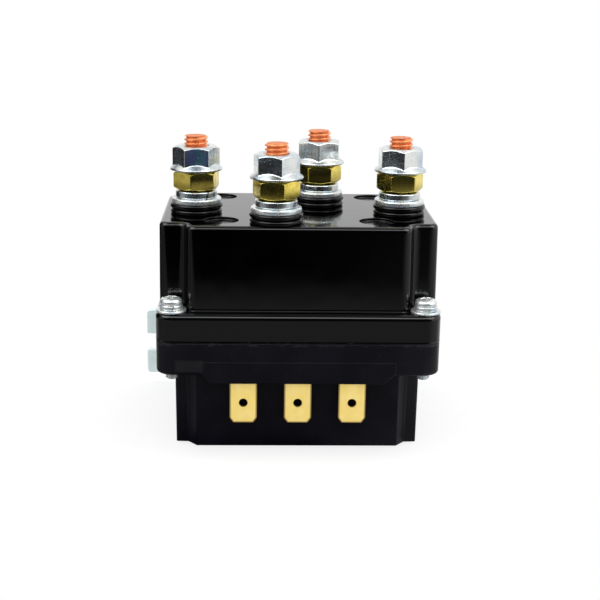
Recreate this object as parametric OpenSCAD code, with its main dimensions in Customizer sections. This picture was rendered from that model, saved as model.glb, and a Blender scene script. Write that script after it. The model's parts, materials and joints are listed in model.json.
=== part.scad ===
// Starter relay: a reversing contactor with two solenoids, four power studs
// and three control tabs. Millimetres, +Z up. The origin is the centre of the
// flat base, the tabs face -Y and the studs point up.

/* [Case] */
// Width of the flange
flange_w = 66; // [65:0.5:80]
// Depth of the flange
flange_d = 50; // [50:0.5:60]
// Radius of the flange corners seen from above
flange_r = 4; // [3:0.25:6]
// Underside of the flange, above the base
flange_z = 18.8; // [17:0.2:21]
// Height of the joint between housing and cover
parting_z = 26.5; // [26:0.25:32]
// Thickness of the cover's flange
cover_flange_t = 6.9; // [4:0.1:8]
// Height of the cover above the joint
cover_h = 26.7; // [26:0.25:34]
// Ledge that the flange leaves at each side of the cover
side_ledge = 0.8; // [0.5:0.05:1.2]
// Ledge that the flange leaves at the front and back of the cover
front_ledge = 3.3; // [2.8:0.1:3.6]
// Step from the flange side in to the lower box
box_side_step = 4.2; // [3.5:0.1:4.6]
// Step from the flange front in to the lower box
box_front_step = 4.1; // [3.5:0.1:4.4]
// Width of the lower box's cut-back corners
box_corner_w = 4.9; // [3:0.1:6]
// Depth of those corners
box_corner_d = 2.6; // [1.5:0.1:4]
// Wall of housing and cover
wall = 2; // [1.4:0.1:2.2]
// Floor of the housing
floor_t = 2.4; // [1.6:0.1:4]
// Roof of the cover
roof_t = 2.5; // [1.6:0.1:4]
// Draft angle of the moulded sides in degrees
draft = 0.48; // [0:0.04:0.6]
// Radius along the cover's top edge
cover_edge_r = 1; // [0.4:0.1:1.2]
// Radius along the flange's top edge
flange_edge_r = 1.3; // [0.5:0.1:1.8]
// Diameter of the shallow recesses in the roof
recess_d = 8; // [5:0.25:8.5]
// Depth of those recesses
recess_t = 1; // [0.3:0.1:1.2]

/* [Case screws] */
// Distance from the flange sides in to each screw
screw_inset = 3.65; // [3.5:0.05:3.7]
// Thread diameter
screw_d = 3; // [2:0.1:3.2]
// Head diameter
screw_head_d = 5.5; // [4.5:0.1:6.5]
// Head height
screw_head_h = 1.8; // [1.2:0.1:2.6]
// Outer diameter of the flat washer
screw_washer_d = 7; // [6:0.1:7]
// Thickness of the flat washer
screw_washer_t = 0.5; // [0.3:0.05:1]
// Thickness of the spring washer
screw_spring_t = 1.2; // [0.7:0.05:1.6]
// Length that the tip stands out under the flange
screw_tip = 1.7; // [0.5:0.1:4]

/* [Power studs] */
// Thread diameter of the studs and nuts
stud_d = 6; // [5:0.1:6]
// Distance from the flange side in to each outer stud
stud_inset = 8.8; // [8.6:0.1:10]
// Distance from the flange front in to the front stud
stud_front_inset = 9.2; // [8.7:0.1:10]
// Distance of the front and rear studs from the row of outer studs
stud_reach = 11.3; // [10.8:0.1:11.4]
// Sideways offset of the front and rear studs
stud_offset = 5.35; // [4.5:0.05:6]
// Length of copper that stands out above the top nut
stud_tip = 2.1; // [1:0.1:10]
// Height of the rubber grommet above the roof
grommet_h = 2.5; // [1.5:0.1:4]
// Widest diameter of the grommet
grommet_d = 12.5; // [10.5:0.1:13]
// Outer diameter of the flat washer
stud_washer_d = 11.8; // [9:0.1:13]
// Thickness of the flat washer
stud_washer_t = 1.2; // [0.6:0.1:2]
// Outer diameter of the spring washer
stud_spring_d = 9.8; // [8.5:0.1:11]
// Thickness of the spring washer
stud_spring_t = 1.7; // [1:0.1:2.4]
// Width across the flats of both nuts
nut_af = 10; // [9:0.1:11]
// Height of the plain nut
nut_h = 4.8; // [3:0.1:6]
// Height of the flange nut
flange_nut_h = 6; // [4.5:0.1:8]
// Diameter of the flange nut's flange
nut_flange_d = 12.4; // [11.5:0.1:14]

/* [Control tabs] */
// Distance from tab to tab
tab_pitch = 12.7; // [9:0.1:13]
// Width of a tab
tab_w = 6.35; // [4.8:0.05:6.6]
// Thickness of a tab
tab_t = 0.8; // [0.5:0.05:0.9]
// Length that a tab stands out under the apron
tab_l = 10.4; // [7:0.1:12]
// Hole near the tip of a tab
tab_hole_d = 1.8; // [1:0.1:2.5]
// Height of that hole above the tip
tab_hole_up = 4.9; // [2.5:0.1:7]

/* [Mounting bracket] */
// Thickness of the sheet
sheet_t = 1.5; // [1:0.1:2]
// How far each ear stands out past the flange
ear_out = 6.15; // [5:0.05:10]
// Underside of the ears above the base
ear_z = 2.9; // [0.5:0.1:4]
// Height of the ears
ear_h = 17.5; // [12:0.1:22]
// Width of the open slots
slot_w = 4.5; // [4.3:0.1:6]

/* [Solenoids] */
// Stroke of each plunger
stroke = 2.2; // [1:0.1:3]
// Gap between the two yokes
yoke_gap = 2.9; // [0.5:0.1:5]
// Gap between each yoke and the side wall of the housing
yoke_side_gap = 1.25; // [0.5:0.05:3]
// Gap between a bobbin and the legs of its yoke
coil_gap = 0.55; // [0.2:0.05:2]
// Wall of the bobbin tube and its flanges
bobbin_wall = 1; // [0.6:0.1:1.4]
// Diameter of plunger and core
plunger_d = 8; // [6.5:0.1:9]
// Length of the plunger
plunger_l = 14; // [11:0.1:15]
// Diameter of the push rod
rod_d = 3; // [2:0.1:3.4]
// Sheet thickness of the iron yokes
yoke_t = 1.5; // [1:0.1:1.8]
// Depth of the yokes from front to back
yoke_d = 16; // [12:0.5:18]
// Thickness of the insulating plate above the yokes
partition_t = 1.6; // [1:0.1:2]
// How far that plate reaches past the yokes in front and behind
partition_lap = 1.5; // [0.5:0.1:2.5]
// Wire diameter of the return springs
spring_wire = 0.5; // [0.3:0.05:0.6]
// Outer diameter of the return springs
spring_d = 4.4; // [3.4:0.1:4.8]

/* [Contacts] */
// Thickness of the fixed copper contacts and of the moving bridges
contact_t = 1.6; // [1:0.1:2]
// Width of the fixed contacts
contact_w = 7; // [5:0.1:8]
// Head diameter of the silver contact rivets
rivet_d = 4; // [3:0.1:4.4]
// Head height of those rivets
rivet_h = 0.7; // [0.4:0.05:1.2]
// Height of the lower fixed contacts above the joint
contact_rise = 5.5; // [4:0.1:8]
// Wall of the insulating bush on each push rod
bush_wall = 1.3; // [0.8:0.05:2]
// Gap between that bush and the fixed contacts on both sides of it
bush_gap = 0.7; // [0.3:0.05:2]

/* [Hidden] */
$fn = 64;

// Small clearances: faces that meet, parts that slide, parts that are pressed or screwed in
gap = 0.1;
slide_gap = 0.075;
thread_gap = 0.02;
cut = 1;

// Case levels and outlines
flange_top = parting_z + cover_flange_t;
cover_top = parting_z + cover_h;
roof_z = cover_top - roof_t;
cover_x = flange_w / 2 - side_ledge;
cover_y = flange_d / 2 - front_ledge;
box_x = flange_w / 2 - box_side_step;
box_y = flange_d / 2 - box_front_step;
screw_x = flange_w / 2 - screw_inset;
screw_y = flange_d / 2 - screw_inset;
// The cover's corners are cut back round the screw washers
notch_gap = 0.15;
cover_rise = cover_top - flange_top;
cover_lean = cover_rise * tan(draft);
cover_face_x = screw_x - screw_washer_d / 2 - notch_gap - cover_lean - 0.13;
cover_notch_y = screw_y - screw_washer_d / 2 - notch_gap - cover_lean;
cover_slant = 0.85;
box_face_x = box_x - box_corner_w;
box_slant = 2.1;
box_notch_y = box_y - box_corner_d;
seal_t = 0.8;
seal_w = 1.2;
seal_inset = 0.4;
steel = [0.80, 0.82, 0.84];
plastic = [0.05, 0.05, 0.06];
copper = [0.85, 0.45, 0.28];
brass = [0.90, 0.76, 0.42];
silver = [0.88, 0.88, 0.86];
nylon = [0.90, 0.88, 0.80];

// Apron above the tabs
apron_drop = 1.6;
apron_z = flange_z - apron_drop;
apron_half = 20;
apron_rise = 3.1;
tab_plane = flange_d / 2 - 2;
tab_tip = apron_z - tab_l;
wire_d = 0.7;

// Power stud positions, with the turn of each one's two nuts about its axis
stud_x = flange_w / 2 - stud_inset;
stud_row = flange_d / 2 - stud_front_inset - stud_reach;
LEFT = [-stud_x, -stud_row];
FRONT = [-stud_offset, -stud_row - stud_reach];
REAR = [stud_offset, -stud_row + stud_reach];
RIGHT = [stud_x, -stud_row];
STUDS = [LEFT, FRONT, REAR, RIGHT];
plain_nut_turn = [49, 17.3, 30.3, 33.1];
flange_nut_turn = [33.9, 10.7, 56.2, 2.4];
washer_z = cover_top + grommet_h;
spring_washer_z = washer_z + stud_washer_t;
nut_z = spring_washer_z + stud_spring_t;
flange_nut_z = nut_z + nut_h;
stud_top = flange_nut_z + flange_nut_h + stud_tip;
recess_front = [18, 14.2];
recess_rear = [18.9, 15.8];

// Contact levels, from the lower fixed contacts up
low_z = parting_z + contact_rise;
low_top = low_z + contact_t;
bridge_z = low_top + gap + stroke + rivet_h;
up_z = bridge_z + contact_t + rivet_h + gap;
up_top = up_z + contact_t;
collar_h = 2.4;
collar_af = 7.2;
boss_z = up_top + collar_h;
boss_r = 6;
spigot_d = stud_d - 1;
bridge_w = contact_w - 1;

// The yokes fill the housing from side to side, and the bobbins fill the yokes
yoke_w = box_x - wall - yoke_side_gap - yoke_gap / 2;
sol_x = (yoke_gap + yoke_w) / 2;
bobbin_d = yoke_w - 2 * yoke_t - 2 * coil_gap;

// The insulating plate spans the yokes, and the tabs' legs end in front of it and of the coils
partition_half = yoke_d / 2 + partition_lap;
tab_inner_y = stud_row + max(bobbin_d / 2, partition_half) + 0.5;

// Contact places, from each solenoid's axis outwards
bush_d = rod_d + 2 * bush_wall;
rivet_edge = rivet_d / 2 + 0.5;
rivet_reach = bush_d / 2 + bush_gap + rivet_edge;
outer_rivet_x = sol_x + rivet_reach;
inner_rivet_x = sol_x - rivet_reach;
bus_half = inner_rivet_x + rivet_edge;

// Solenoid levels, from the floor up
partition_z = parting_z - 0.2 - partition_t;
top_plate_z = partition_z - yoke_t;
bobbin_z = floor_t + yoke_t + gap;
bobbin_h = top_plate_z - gap - bobbin_z;
bobbin_bore = plunger_d + 2 * slide_gap;
plunger_top = parting_z + 0.3;
plunger_z = plunger_top - plunger_l;
core_top = plunger_z - stroke - 0.2;
core_spigot_d = plunger_d - 3;
pocket_d = spring_d + 0.6;
pocket_t = 3;
spring_z = core_top - pocket_t;
spring_h = plunger_z + pocket_t - spring_z;
spring_turns = 7;
rod_grip = 4;
clip_t = rivet_h;
clip_d = rod_d + 3;
rod_top = bridge_z + contact_t + clip_t + 1.5;

// Points of a polygon with each corner rounded to its own radius
function unit(v) = v / norm(v);
function turn_between(a, b) = let (d = b - a) d > 180 ? d - 360 : d < -180 ? d + 360 : d;
function corner_arc(p, q, s, r, n) =
  let (
    u = unit(p - q),
    v = unit(s - q),
    half = acos(u * v) / 2,
    centre = q + unit(u + v) * r / sin(half),
    start = q + u * r / tan(half) - centre,
    end = q + v * r / tan(half) - centre,
    first = atan2(start.y, start.x),
    sweep = turn_between(first, atan2(end.y, end.x))
  )
  [for (k = [0:n]) centre + r * [cos(first + sweep * k / n), sin(first + sweep * k / n)]];
function rounded(points, radii, n = 5) =
  let (m = len(points))
  [for (i = [0:m - 1]) each
    corner_arc(points[(i + m - 1) % m], points[i], points[(i + 1) % m], radii[i], n)];

// Rectangle about the origin with round corners
function round_rect(x, y, r, n = 7) =
  rounded([[-x, -y], [x, -y], [x, y], [-x, y]], [r, r, r, r], n);

// Outline with four notched corners, drawn inset from its nominal size
function notched(x, y, face_x, slant, notch_y, r_face, r_in, r_out, inset) =
  let (
    hx = x - inset,
    hy = y - inset,
    fx = face_x - inset,
    sx = face_x + slant - inset,
    ny = notch_y - inset,
    rf = max(r_face - inset, 0.06),
    ro = max(r_out - inset, 0.12),
    ri = r_in + max(inset, 0)
  )
  rounded(
    [[-fx, -hy], [fx, -hy], [sx, -ny], [hx, -ny], [hx, ny], [sx, ny],
     [fx, hy], [-fx, hy], [-sx, ny], [-hx, ny], [-hx, -ny], [-sx, -ny]],
    [rf, rf, ri, ro, ro, ri, rf, rf, ri, ro, ro, ri]
  );
function cover_outline(inset) =
  notched(cover_x, cover_y, cover_face_x, cover_slant, cover_notch_y, 1, 0.7, 1.9, inset);
function box_outline(inset) =
  notched(box_x, box_y, box_face_x, box_slant, box_notch_y, 0.4, 0.5, 0.6, inset);

// Solid skinned through a stack of outlines, each given as its height and points,
// and closed at both ends by triangles round a point on the Z axis
module loft(sections) {
  n = len(sections[0][1]);
  top = (len(sections) - 1) * n;
  middle = top + n;
  polyhedron(
    points = concat(
      [for (s = sections, p = s[1]) [p.x, p.y, s[0]]],
      [[0, 0, sections[0][0]], [0, 0, sections[len(sections) - 1][0]]]
    ),
    faces = concat(
      [for (k = [0:n - 1]) [middle, k, (k + 1) % n]],
      [for (i = [0:len(sections) - 2], k = [0:n - 1])
        let (a = i * n + k, b = i * n + (k + 1) % n) [a, a + n, b + n]],
      [for (i = [0:len(sections) - 2], k = [0:n - 1])
        let (a = i * n + k, b = i * n + (k + 1) % n) [a, b + n, b]],
      [for (k = [0:n - 1]) [middle + 1, top + (k + 1) % n, top + k]]
    ),
    convexity = 6
  );
}

// Heights and insets of a quarter round along an edge
function edge_steps(r, n = 4) = [for (k = [0:n]) [r * sin(90 * k / n), r * (1 - cos(90 * k / n))]];

module at_corners(x, y) {
  for (sx = [-1, 1], sy = [-1, 1]) translate([sx * x, sy * y, 0]) children();
}

module at_studs() {
  for (p = STUDS) translate([p.x, p.y, 0]) children();
}

module at_solenoid(side) {
  translate([side * sol_x, -stud_row, 0]) children();
}

// Prism on the XY plane between two heights
module slab(points, z0, z1) {
  translate([0, 0, z0]) linear_extrude(z1 - z0) polygon(points);
}

module box_at(x0, x1, y0, y1, z0, z1) {
  translate([x0, y0, z0]) cube([x1 - x0, y1 - y0, z1 - z0]);
}

module rod(d, z0, z1) {
  translate([0, 0, z0]) cylinder(d = d, h = z1 - z0);
}

// Flange block: one edge square at the joint, the other one rounded
module flange_block(z_joint, z_edge, r) {
  way = sign(z_edge - z_joint);
  steps = [for (s = edge_steps(r)) [z_edge - way * (r - s[0]), s[1]]];
  stack = concat([[z_joint, 0]], steps);
  ordered = way > 0 ? stack : [for (i = [len(stack) - 1:-1:0]) stack[i]];
  loft([for (s = ordered)
    [s[0], round_rect(flange_w / 2 - s[1], flange_d / 2 - s[1], flange_r - s[1])]]);
}

module cover_body() {
  r = cover_edge_r;
  loft(concat(
    [[flange_top - cut, cover_outline(-cover_lean)], [flange_top, cover_outline(-cover_lean)]],
    [for (s = edge_steps(r)) [cover_top - r + s[0], cover_outline(s[1] - r * tan(draft) * (1 - s[0] / r))]]
  ));
}

module upper_cover() {
  color(plastic) difference() {
    union() {
      difference() {
        union() {
          flange_block(parting_z, flange_top, flange_edge_r);
          cover_body();
        }
        slab(cover_outline(wall), parting_z - cut, roof_z);
      }
      // Hollow towers that the stud collars are pulled up against
      intersection() {
        at_studs() rod(2 * boss_r, boss_z, roof_z + cut / 2);
        slab(cover_outline(wall / 2), boss_z, cover_top);
      }
    }
    at_studs() {
      rod(stud_d + 0.4, boss_z - cut, cover_top + cut);
      rod(stud_d + 2.8, roof_z, cover_top + cut);
    }
    at_corners(screw_x, screw_y) rod(screw_d + 0.4, parting_z - cut, flange_top + cut);
    for (side = [-1, 1]) {
      translate([side * recess_front.x, -recess_front.y, 0])
        rod(recess_d, cover_top - recess_t, cover_top + cut);
      translate([side * recess_rear.x, recess_rear.y, 0])
        rod(recess_d, cover_top - recess_t, cover_top + cut);
    }
    // Groove for the seal
    difference() {
      slab(cover_outline(seal_inset - gap / 2), parting_z - cut, parting_z + seal_t);
      slab(cover_outline(seal_inset + seal_w + gap / 2), parting_z - 2 * cut, parting_z + seal_t + cut);
    }
  }
}

module housing_gasket() {
  color([0.12, 0.12, 0.12]) difference() {
    slab(cover_outline(seal_inset), parting_z, parting_z + seal_t);
    slab(cover_outline(seal_inset + seal_w), parting_z - cut, parting_z + seal_t + cut);
  }
}

module housing_box() {
  r = 0.5;
  lean = flange_z * tan(draft);
  loft(concat(
    [for (i = [4:-1:0]) let (s = edge_steps(r)[i]) [r - s[0], box_outline(lean + s[1])]],
    [[flange_z, box_outline(0)], [flange_z + cut, box_outline(0)]]
  ));
}

module apron() {
  depth = flange_d / 2 - box_y + cut;
  translate([0, -flange_d / 2 + depth, 0]) rotate([90, 0, 0]) linear_extrude(depth)
    polygon([
      [-apron_half, apron_z], [apron_half, apron_z],
      [apron_half + apron_rise, apron_z + apron_rise], [-apron_half - apron_rise, apron_z + apron_rise]
    ]);
}

module lower_housing() {
  rib_t = 1.4;
  rib_h = yoke_t - gap;
  rib_x = box_x - wall;
  color([0.07, 0.07, 0.085]) difference() {
    union() {
      difference() {
        union() {
          flange_block(parting_z, flange_z, 0.8);
          housing_box();
          apron();
        }
        slab(box_outline(wall), floor_t, parting_z + cut);
      }
      // Low ribs that hold the yokes fore and aft
      for (y = [-stud_row - yoke_d / 2 - gap - rib_t, -stud_row + yoke_d / 2 + gap])
        box_at(-rib_x, rib_x, y, y + rib_t, floor_t - cut / 2, floor_t + rib_h);
    }
    at_corners(screw_x, screw_y) rod(screw_d + 2 * thread_gap, flange_z - cut, parting_z + cut);
    // Slots that the control tabs pass down through
    for (i = [-1:1]) {
      half = tab_w / 2 + gap;
      box_at(i * tab_pitch - half, i * tab_pitch + half,
        -tab_plane - tab_t / 2 - gap / 2, -tab_plane + tab_t / 2 + gap / 2, apron_z - cut, parting_z + cut);
      box_at(i * tab_pitch - half, i * tab_pitch + half,
        -tab_plane - tab_t / 2 - gap / 2, -box_y + wall + cut, parting_z - tab_t - gap, parting_z + cut);
    }
  }
}

// Sheet-metal bracket: a back plate with two slotted ears, and two lugs folded
// over the flange under the rear screws
module mounting_bracket() {
  back = flange_d / 2;
  ear_x = flange_w / 2 + ear_out;
  slot_z = ear_z + ear_h / 2;
  slot_end = flange_w / 2 + 1.6;
  lug_in = cover_face_x + cover_lean + cover_slant + 0.3;
  lug_out = flange_w / 2 - 0.2;
  color(steel) difference() {
    union() {
      translate([0, back + sheet_t, ear_z + ear_h / 2]) rotate([90, 0, 0])
        linear_extrude(sheet_t) polygon(round_rect(ear_x, ear_h / 2, 1, 4));
      for (side = [-1, 1]) scale([side, 1, 1]) {
        box_at(lug_in, lug_out, back, back + sheet_t, ear_z + ear_h / 2, flange_top);
        difference() {
          box_at(lug_in, lug_out, back - sheet_t, back + sheet_t, flange_top, flange_top + sheet_t);
          difference() {
            box_at(lug_in - cut, lug_out + cut, back, back + 2 * sheet_t, flange_top, flange_top + 2 * sheet_t);
            translate([lug_in - 2 * cut, back, flange_top]) rotate([0, 90, 0])
              cylinder(r = sheet_t, h = lug_out - lug_in + 4 * cut);
          }
        }
        box_at(lug_in, lug_out, cover_notch_y + cover_lean + 0.15, back - sheet_t, flange_top, flange_top + sheet_t);
      }
    }
    for (side = [-1, 1]) {
      translate([side * screw_x, screw_y, 0]) rod(screw_d + 0.4, flange_top - cut, flange_top + sheet_t + cut);
      translate([side * slot_end, back + sheet_t + cut, slot_z]) rotate([90, 0, 0])
        cylinder(d = slot_w, h = sheet_t + 2 * cut);
      translate([side * (slot_end + ear_out / 2), back + sheet_t / 2, slot_z])
        cube([ear_out, sheet_t + 2 * cut, slot_w], center = true);
    }
  }
}

// Case screws sit on the flange in front and on the bracket's lugs behind
module at_case_screws() {
  for (sx = [-1, 1]) {
    translate([sx * screw_x, -screw_y, flange_top]) children();
    translate([sx * screw_x, screw_y, flange_top + sheet_t]) children();
  }
}

module case_flat_washers() {
  color(steel) at_case_screws() difference() {
    rod(screw_washer_d, 0, screw_washer_t);
    rod(screw_d + 0.2, -cut, screw_washer_t + cut);
  }
}

// Split ring, cut through at a slant
module split_ring(d_out, d_in, t, turn) {
  difference() {
    rod(d_out, 0, t);
    rod(d_in, -cut, t + cut);
    rotate([0, 0, turn]) translate([0, -d_out / 2, t / 2]) rotate([0, 20, 0])
      cube([t * 0.3, d_out, 3 * t], center = true);
  }
}

module case_spring_washers() {
  color(steel) at_case_screws() translate([0, 0, screw_washer_t])
    split_ring(screw_head_d + 0.1, screw_d + 0.2, screw_spring_t, 10);
}

module case_screws() {
  seat = screw_washer_t + screw_spring_t;
  under = flange_top - flange_z + screw_tip;
  head_r = screw_head_d / 2;
  color(steel) at_case_screws() difference() {
    union() {
      translate([0, 0, seat]) rotate_extrude() polygon(concat(
        [[0, 0], [head_r, 0], [head_r, screw_head_h * 0.45]],
        [for (k = [1:6]) [head_r * cos(15 * k), screw_head_h * (0.45 + 0.55 * sin(15 * k))]]
      ));
      rod(screw_d, 0.4 - under, seat + cut / 2);
      translate([0, 0, -under]) cylinder(d1 = screw_d - 0.8, d2 = screw_d, h = 0.4);
    }
    for (turn = [20, 110]) rotate([0, 0, turn])
      translate([0, 0, seat + screw_head_h])
        cube([screw_head_d * 0.55, 0.8, screw_head_h * 1.1], center = true);
  }
}

// Copper stud: threaded top, square collar under the tower, riveted spigot
module power_stud(place, plate_z) {
  plate_top = plate_z + contact_t;
  color(copper) translate([place.x, place.y, 0]) {
    rod(spigot_d, plate_z, plate_top);
    if (plate_top < up_top) rod(stud_d, plate_top, up_top);
    box_at(-collar_af / 2, collar_af / 2, -collar_af / 2, collar_af / 2, up_top, boss_z);
    rod(stud_d, boss_z, stud_top - 0.5);
    translate([0, 0, stud_top - 0.5]) cylinder(d1 = stud_d, d2 = stud_d - 1, h = 0.5);
  }
}

module stud_left() { power_stud(LEFT, up_z); }
module stud_front() { power_stud(FRONT, low_z); }
module stud_rear() { power_stud(REAR, up_z); }
module stud_right() { power_stud(RIGHT, up_z); }

// Rubber grommet: a sleeve in the roof and two round lobes above it
module stud_grommets() {
  bore = stud_d / 2 + 0.05;
  sleeve = stud_d / 2 + 1.35;
  outer = grommet_d / 2;
  mid = grommet_h / 2;
  color([0.06, 0.06, 0.06]) at_studs() translate([0, 0, cover_top]) rotate_extrude() polygon(rounded(
    [[bore, -roof_t], [sleeve, -roof_t], [sleeve, 0], [outer, 0], [outer, mid], [outer - 0.45, mid],
     [outer - 0.45, mid + 0.1], [outer - 0.1, mid + 0.1], [outer - 0.1, grommet_h], [bore, grommet_h]],
    [0.1, 0.2, 0.05, 0.4, 0.35, 0.04, 0.04, 0.3, 0.4, 0.1], 4
  ));
}

module stud_flat_washers() {
  color(steel) at_studs() difference() {
    rod(stud_washer_d, washer_z, spring_washer_z);
    rod(stud_d + 0.3, washer_z - cut, spring_washer_z + cut);
  }
}

module stud_spring_washers() {
  color(steel) for (p = STUDS) translate([p.x, p.y, spring_washer_z])
    split_ring(stud_spring_d, stud_d + 0.2, stud_spring_t, 150);
}

// Hexagon with its corners turned down to a chamfer at both ends or one
module chamfered_hex(h, lower, upper) {
  corner = nut_af / 2 / cos(30);
  fall = (corner - nut_af / 2 + 0.1) * tan(30);
  intersection() {
    cylinder(r = corner, h = h, $fn = 6);
    rotate_extrude() polygon([
      [0, 0], [nut_af / 2 - (lower ? 0.1 : -1), 0], [corner - (lower ? 0 : -1), lower ? fall : 0],
      [corner - (upper ? 0 : -1), upper ? h - fall : h], [nut_af / 2 - (upper ? 0.1 : -1), h], [0, h]
    ]);
  }
}

module nut_bore(h) {
  rod(stud_d + 2 * thread_gap, -cut, h + cut);
  translate([0, 0, h - 0.4]) cylinder(d1 = stud_d, d2 = stud_d + 0.82, h = 0.41);
}

module stud_hex_nuts() {
  color([0.72, 0.66, 0.22]) for (i = [0:3])
    translate([STUDS[i].x, STUDS[i].y, nut_z]) rotate([0, 0, plain_nut_turn[i] - 90]) difference() {
      chamfered_hex(nut_h, true, true);
      nut_bore(nut_h);
    }
}

module stud_flange_nuts() {
  rim = nut_flange_d / 2;
  color(steel) for (i = [0:3])
    translate([STUDS[i].x, STUDS[i].y, flange_nut_z]) rotate([0, 0, flange_nut_turn[i] - 90]) difference() {
      union() {
        chamfered_hex(flange_nut_h, false, true);
        rotate_extrude() polygon(concat(
          [[0, 0], [rim - 0.5, 0]],
          [for (k = [0:5]) [rim - 0.5 + 0.5 * sin(30 * k), 0.5 - 0.5 * cos(30 * k)]],
          [[nut_af / 2 - 0.3, 2], [0, 2]]
        ));
      }
      nut_bore(flange_nut_h);
    }
}

// Brass tab: a blade that hangs from the apron and a leg trapped in the joint
module spade_tab(i) {
  blade_l = parting_z - gap / 2 - tab_tip;
  half = tab_w / 2;
  color(brass) translate([i * tab_pitch, 0, 0]) difference() {
    union() {
      translate([0, -tab_plane + tab_t / 2, tab_tip]) rotate([90, 0, 0]) linear_extrude(tab_t)
        polygon([[-half + 0.8, 0], [half - 0.8, 0], [half, 1.2], [half, blade_l], [-half, blade_l], [-half, 1.2]]);
      box_at(-half, half, -tab_plane, -tab_inner_y, parting_z - gap / 2 - tab_t, parting_z - gap / 2);
    }
    translate([0, -tab_plane + tab_t, tab_tip + tab_hole_up]) rotate([90, 0, 0]) cylinder(d = tab_hole_d, h = 2 * tab_t);
  }
}

module spade_tab_left() { spade_tab(-1); }
module spade_tab_centre() { spade_tab(0); }
module spade_tab_right() { spade_tab(1); }

// Fixed motor contact: a copper C round the outer end of the moving bridge
module motor_contact(side) {
  inner = outer_rivet_x - rivet_edge;
  outer = stud_x + 4;
  y0 = -stud_row - contact_w / 2;
  y1 = -stud_row + contact_w / 2;
  color(copper) scale([side, 1, 1]) difference() {
    union() {
      box_at(inner, outer, y0, y1, low_z, low_top);
      box_at(inner, outer, y0, y1, up_z, up_top);
      box_at(outer - contact_t, outer, y0, y1, low_z, up_top);
    }
    translate([stud_x, -stud_row, 0]) rod(spigot_d + 2 * thread_gap, up_z - cut, up_top + cut);
  }
}

module motor_contact_left() { motor_contact(-1); }
module motor_contact_right() { motor_contact(1); }

// Battery bus: a copper T from one middle stud to the inner ends of both bridges
module battery_bus(place, z) {
  half = contact_w / 2;
  tail = place.y + sign(place.y + stud_row) * half;
  color(copper) difference() {
    union() {
      box_at(-bus_half, bus_half, -stud_row - half, -stud_row + half, z, z + contact_t);
      box_at(place.x - half, place.x + half, min(-stud_row, tail), max(-stud_row, tail), z, z + contact_t);
    }
    translate([place.x, place.y, 0]) rod(spigot_d + 2 * thread_gap, z - cut, z + contact_t + cut);
  }
}

module battery_bus_lower() { battery_bus(FRONT, low_z); }
module battery_bus_upper() { battery_bus(REAR, up_z); }

// Iron yoke: a U that carries the core below and the top plate above
module yoke_frames() {
  half = yoke_w / 2;
  color([0.55, 0.56, 0.58]) for (side = [-1, 1]) at_solenoid(side) difference() {
    box_at(-half, half, -yoke_d / 2, yoke_d / 2, floor_t, top_plate_z);
    box_at(-half + yoke_t, half - yoke_t, -yoke_d, yoke_d, floor_t + yoke_t, top_plate_z + cut);
    rod(core_spigot_d + 2 * thread_gap, floor_t - cut, floor_t + 2 * yoke_t);
  }
}

module yoke_top_plates() {
  half = yoke_w / 2;
  color([0.55, 0.56, 0.58]) for (side = [-1, 1]) at_solenoid(side) difference() {
    box_at(-half, half, -yoke_d / 2, yoke_d / 2, top_plate_z, partition_z);
    rod(plunger_d + 0.6, top_plate_z - cut, partition_z + cut);
  }
}

module bobbins() {
  color(nylon) for (side = [-1, 1]) at_solenoid(side) difference() {
    union() {
      rod(bobbin_bore + 2 * bobbin_wall, bobbin_z, bobbin_z + bobbin_h);
      rod(bobbin_d, bobbin_z, bobbin_z + bobbin_wall);
      rod(bobbin_d, bobbin_z + bobbin_h - bobbin_wall, bobbin_z + bobbin_h);
    }
    rod(bobbin_bore, bobbin_z - cut, bobbin_z + bobbin_h + cut);
  }
}

module coil_windings() {
  z0 = bobbin_z + bobbin_wall + gap / 2;
  z1 = bobbin_z + bobbin_h - bobbin_wall - gap / 2;
  color([0.60, 0.27, 0.13]) for (side = [-1, 1]) at_solenoid(side) difference() {
    rod(bobbin_d - 0.8, z0, z1);
    rod(bobbin_bore + 2 * bobbin_wall + gap, z0 - cut, z1 + cut);
  }
}

module fixed_cores() {
  color([0.55, 0.56, 0.58]) for (side = [-1, 1]) at_solenoid(side) difference() {
    union() {
      rod(plunger_d, floor_t + yoke_t, core_top);
      rod(core_spigot_d, floor_t, floor_t + yoke_t);
    }
    rod(pocket_d, spring_z, core_top + cut);
  }
}

// Length of wire along a chain of points, with round knuckles at the bends
module wire(points) {
  for (i = [0:len(points) - 2]) {
    way = points[i + 1] - points[i];
    translate(points[i]) rotate([0, acos(way.z / norm(way)), atan2(way.y, way.x)])
      cylinder(d = wire_d, h = norm(way), $fn = 16);
    if (i > 0) translate(points[i]) sphere(d = wire_d + 0.06, $fn = 16);
  }
}

// Each coil has one lead to its own tab and one to the tab in the middle
module coil_leads() {
  top = parting_z - gap / 2 - tab_t;
  low = bobbin_z + bobbin_h - bobbin_wall - 2;
  front = -tab_inner_y - wire_d / 2 - 0.3;
  coil_r = (bobbin_d - 0.8) / 2 + gap;
  color([0.75, 0.35, 0.15]) for (side = [-1, 1]) {
    own_x = side * tab_pitch;
    own_y = -stud_row - sqrt(pow(coil_r, 2) - pow(sol_x - tab_pitch, 2));
    shared_x = side * (sol_x - coil_r / 2);
    shared_y = -stud_row - coil_r * sin(60) - 0.2;
    wire([[own_x, own_y, low], [own_x, front, low], [own_x, front, top]]);
    wire([[shared_x, shared_y, low], [shared_x, front, low], [side * 1.5, front, low], [side * 1.5, front, top]]);
  }
}

// Insulating plate between the coils and the contacts
module partition_plate() {
  color([0.35, 0.20, 0.10]) difference() {
    box_at(-box_x + wall + 0.8, box_x - wall - 0.8, -stud_row - partition_half, -stud_row + partition_half,
      partition_z, partition_z + partition_t);
    for (side = [-1, 1]) at_solenoid(side) rod(plunger_d + 1.4, partition_z - cut, parting_z + cut);
  }
}

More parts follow.
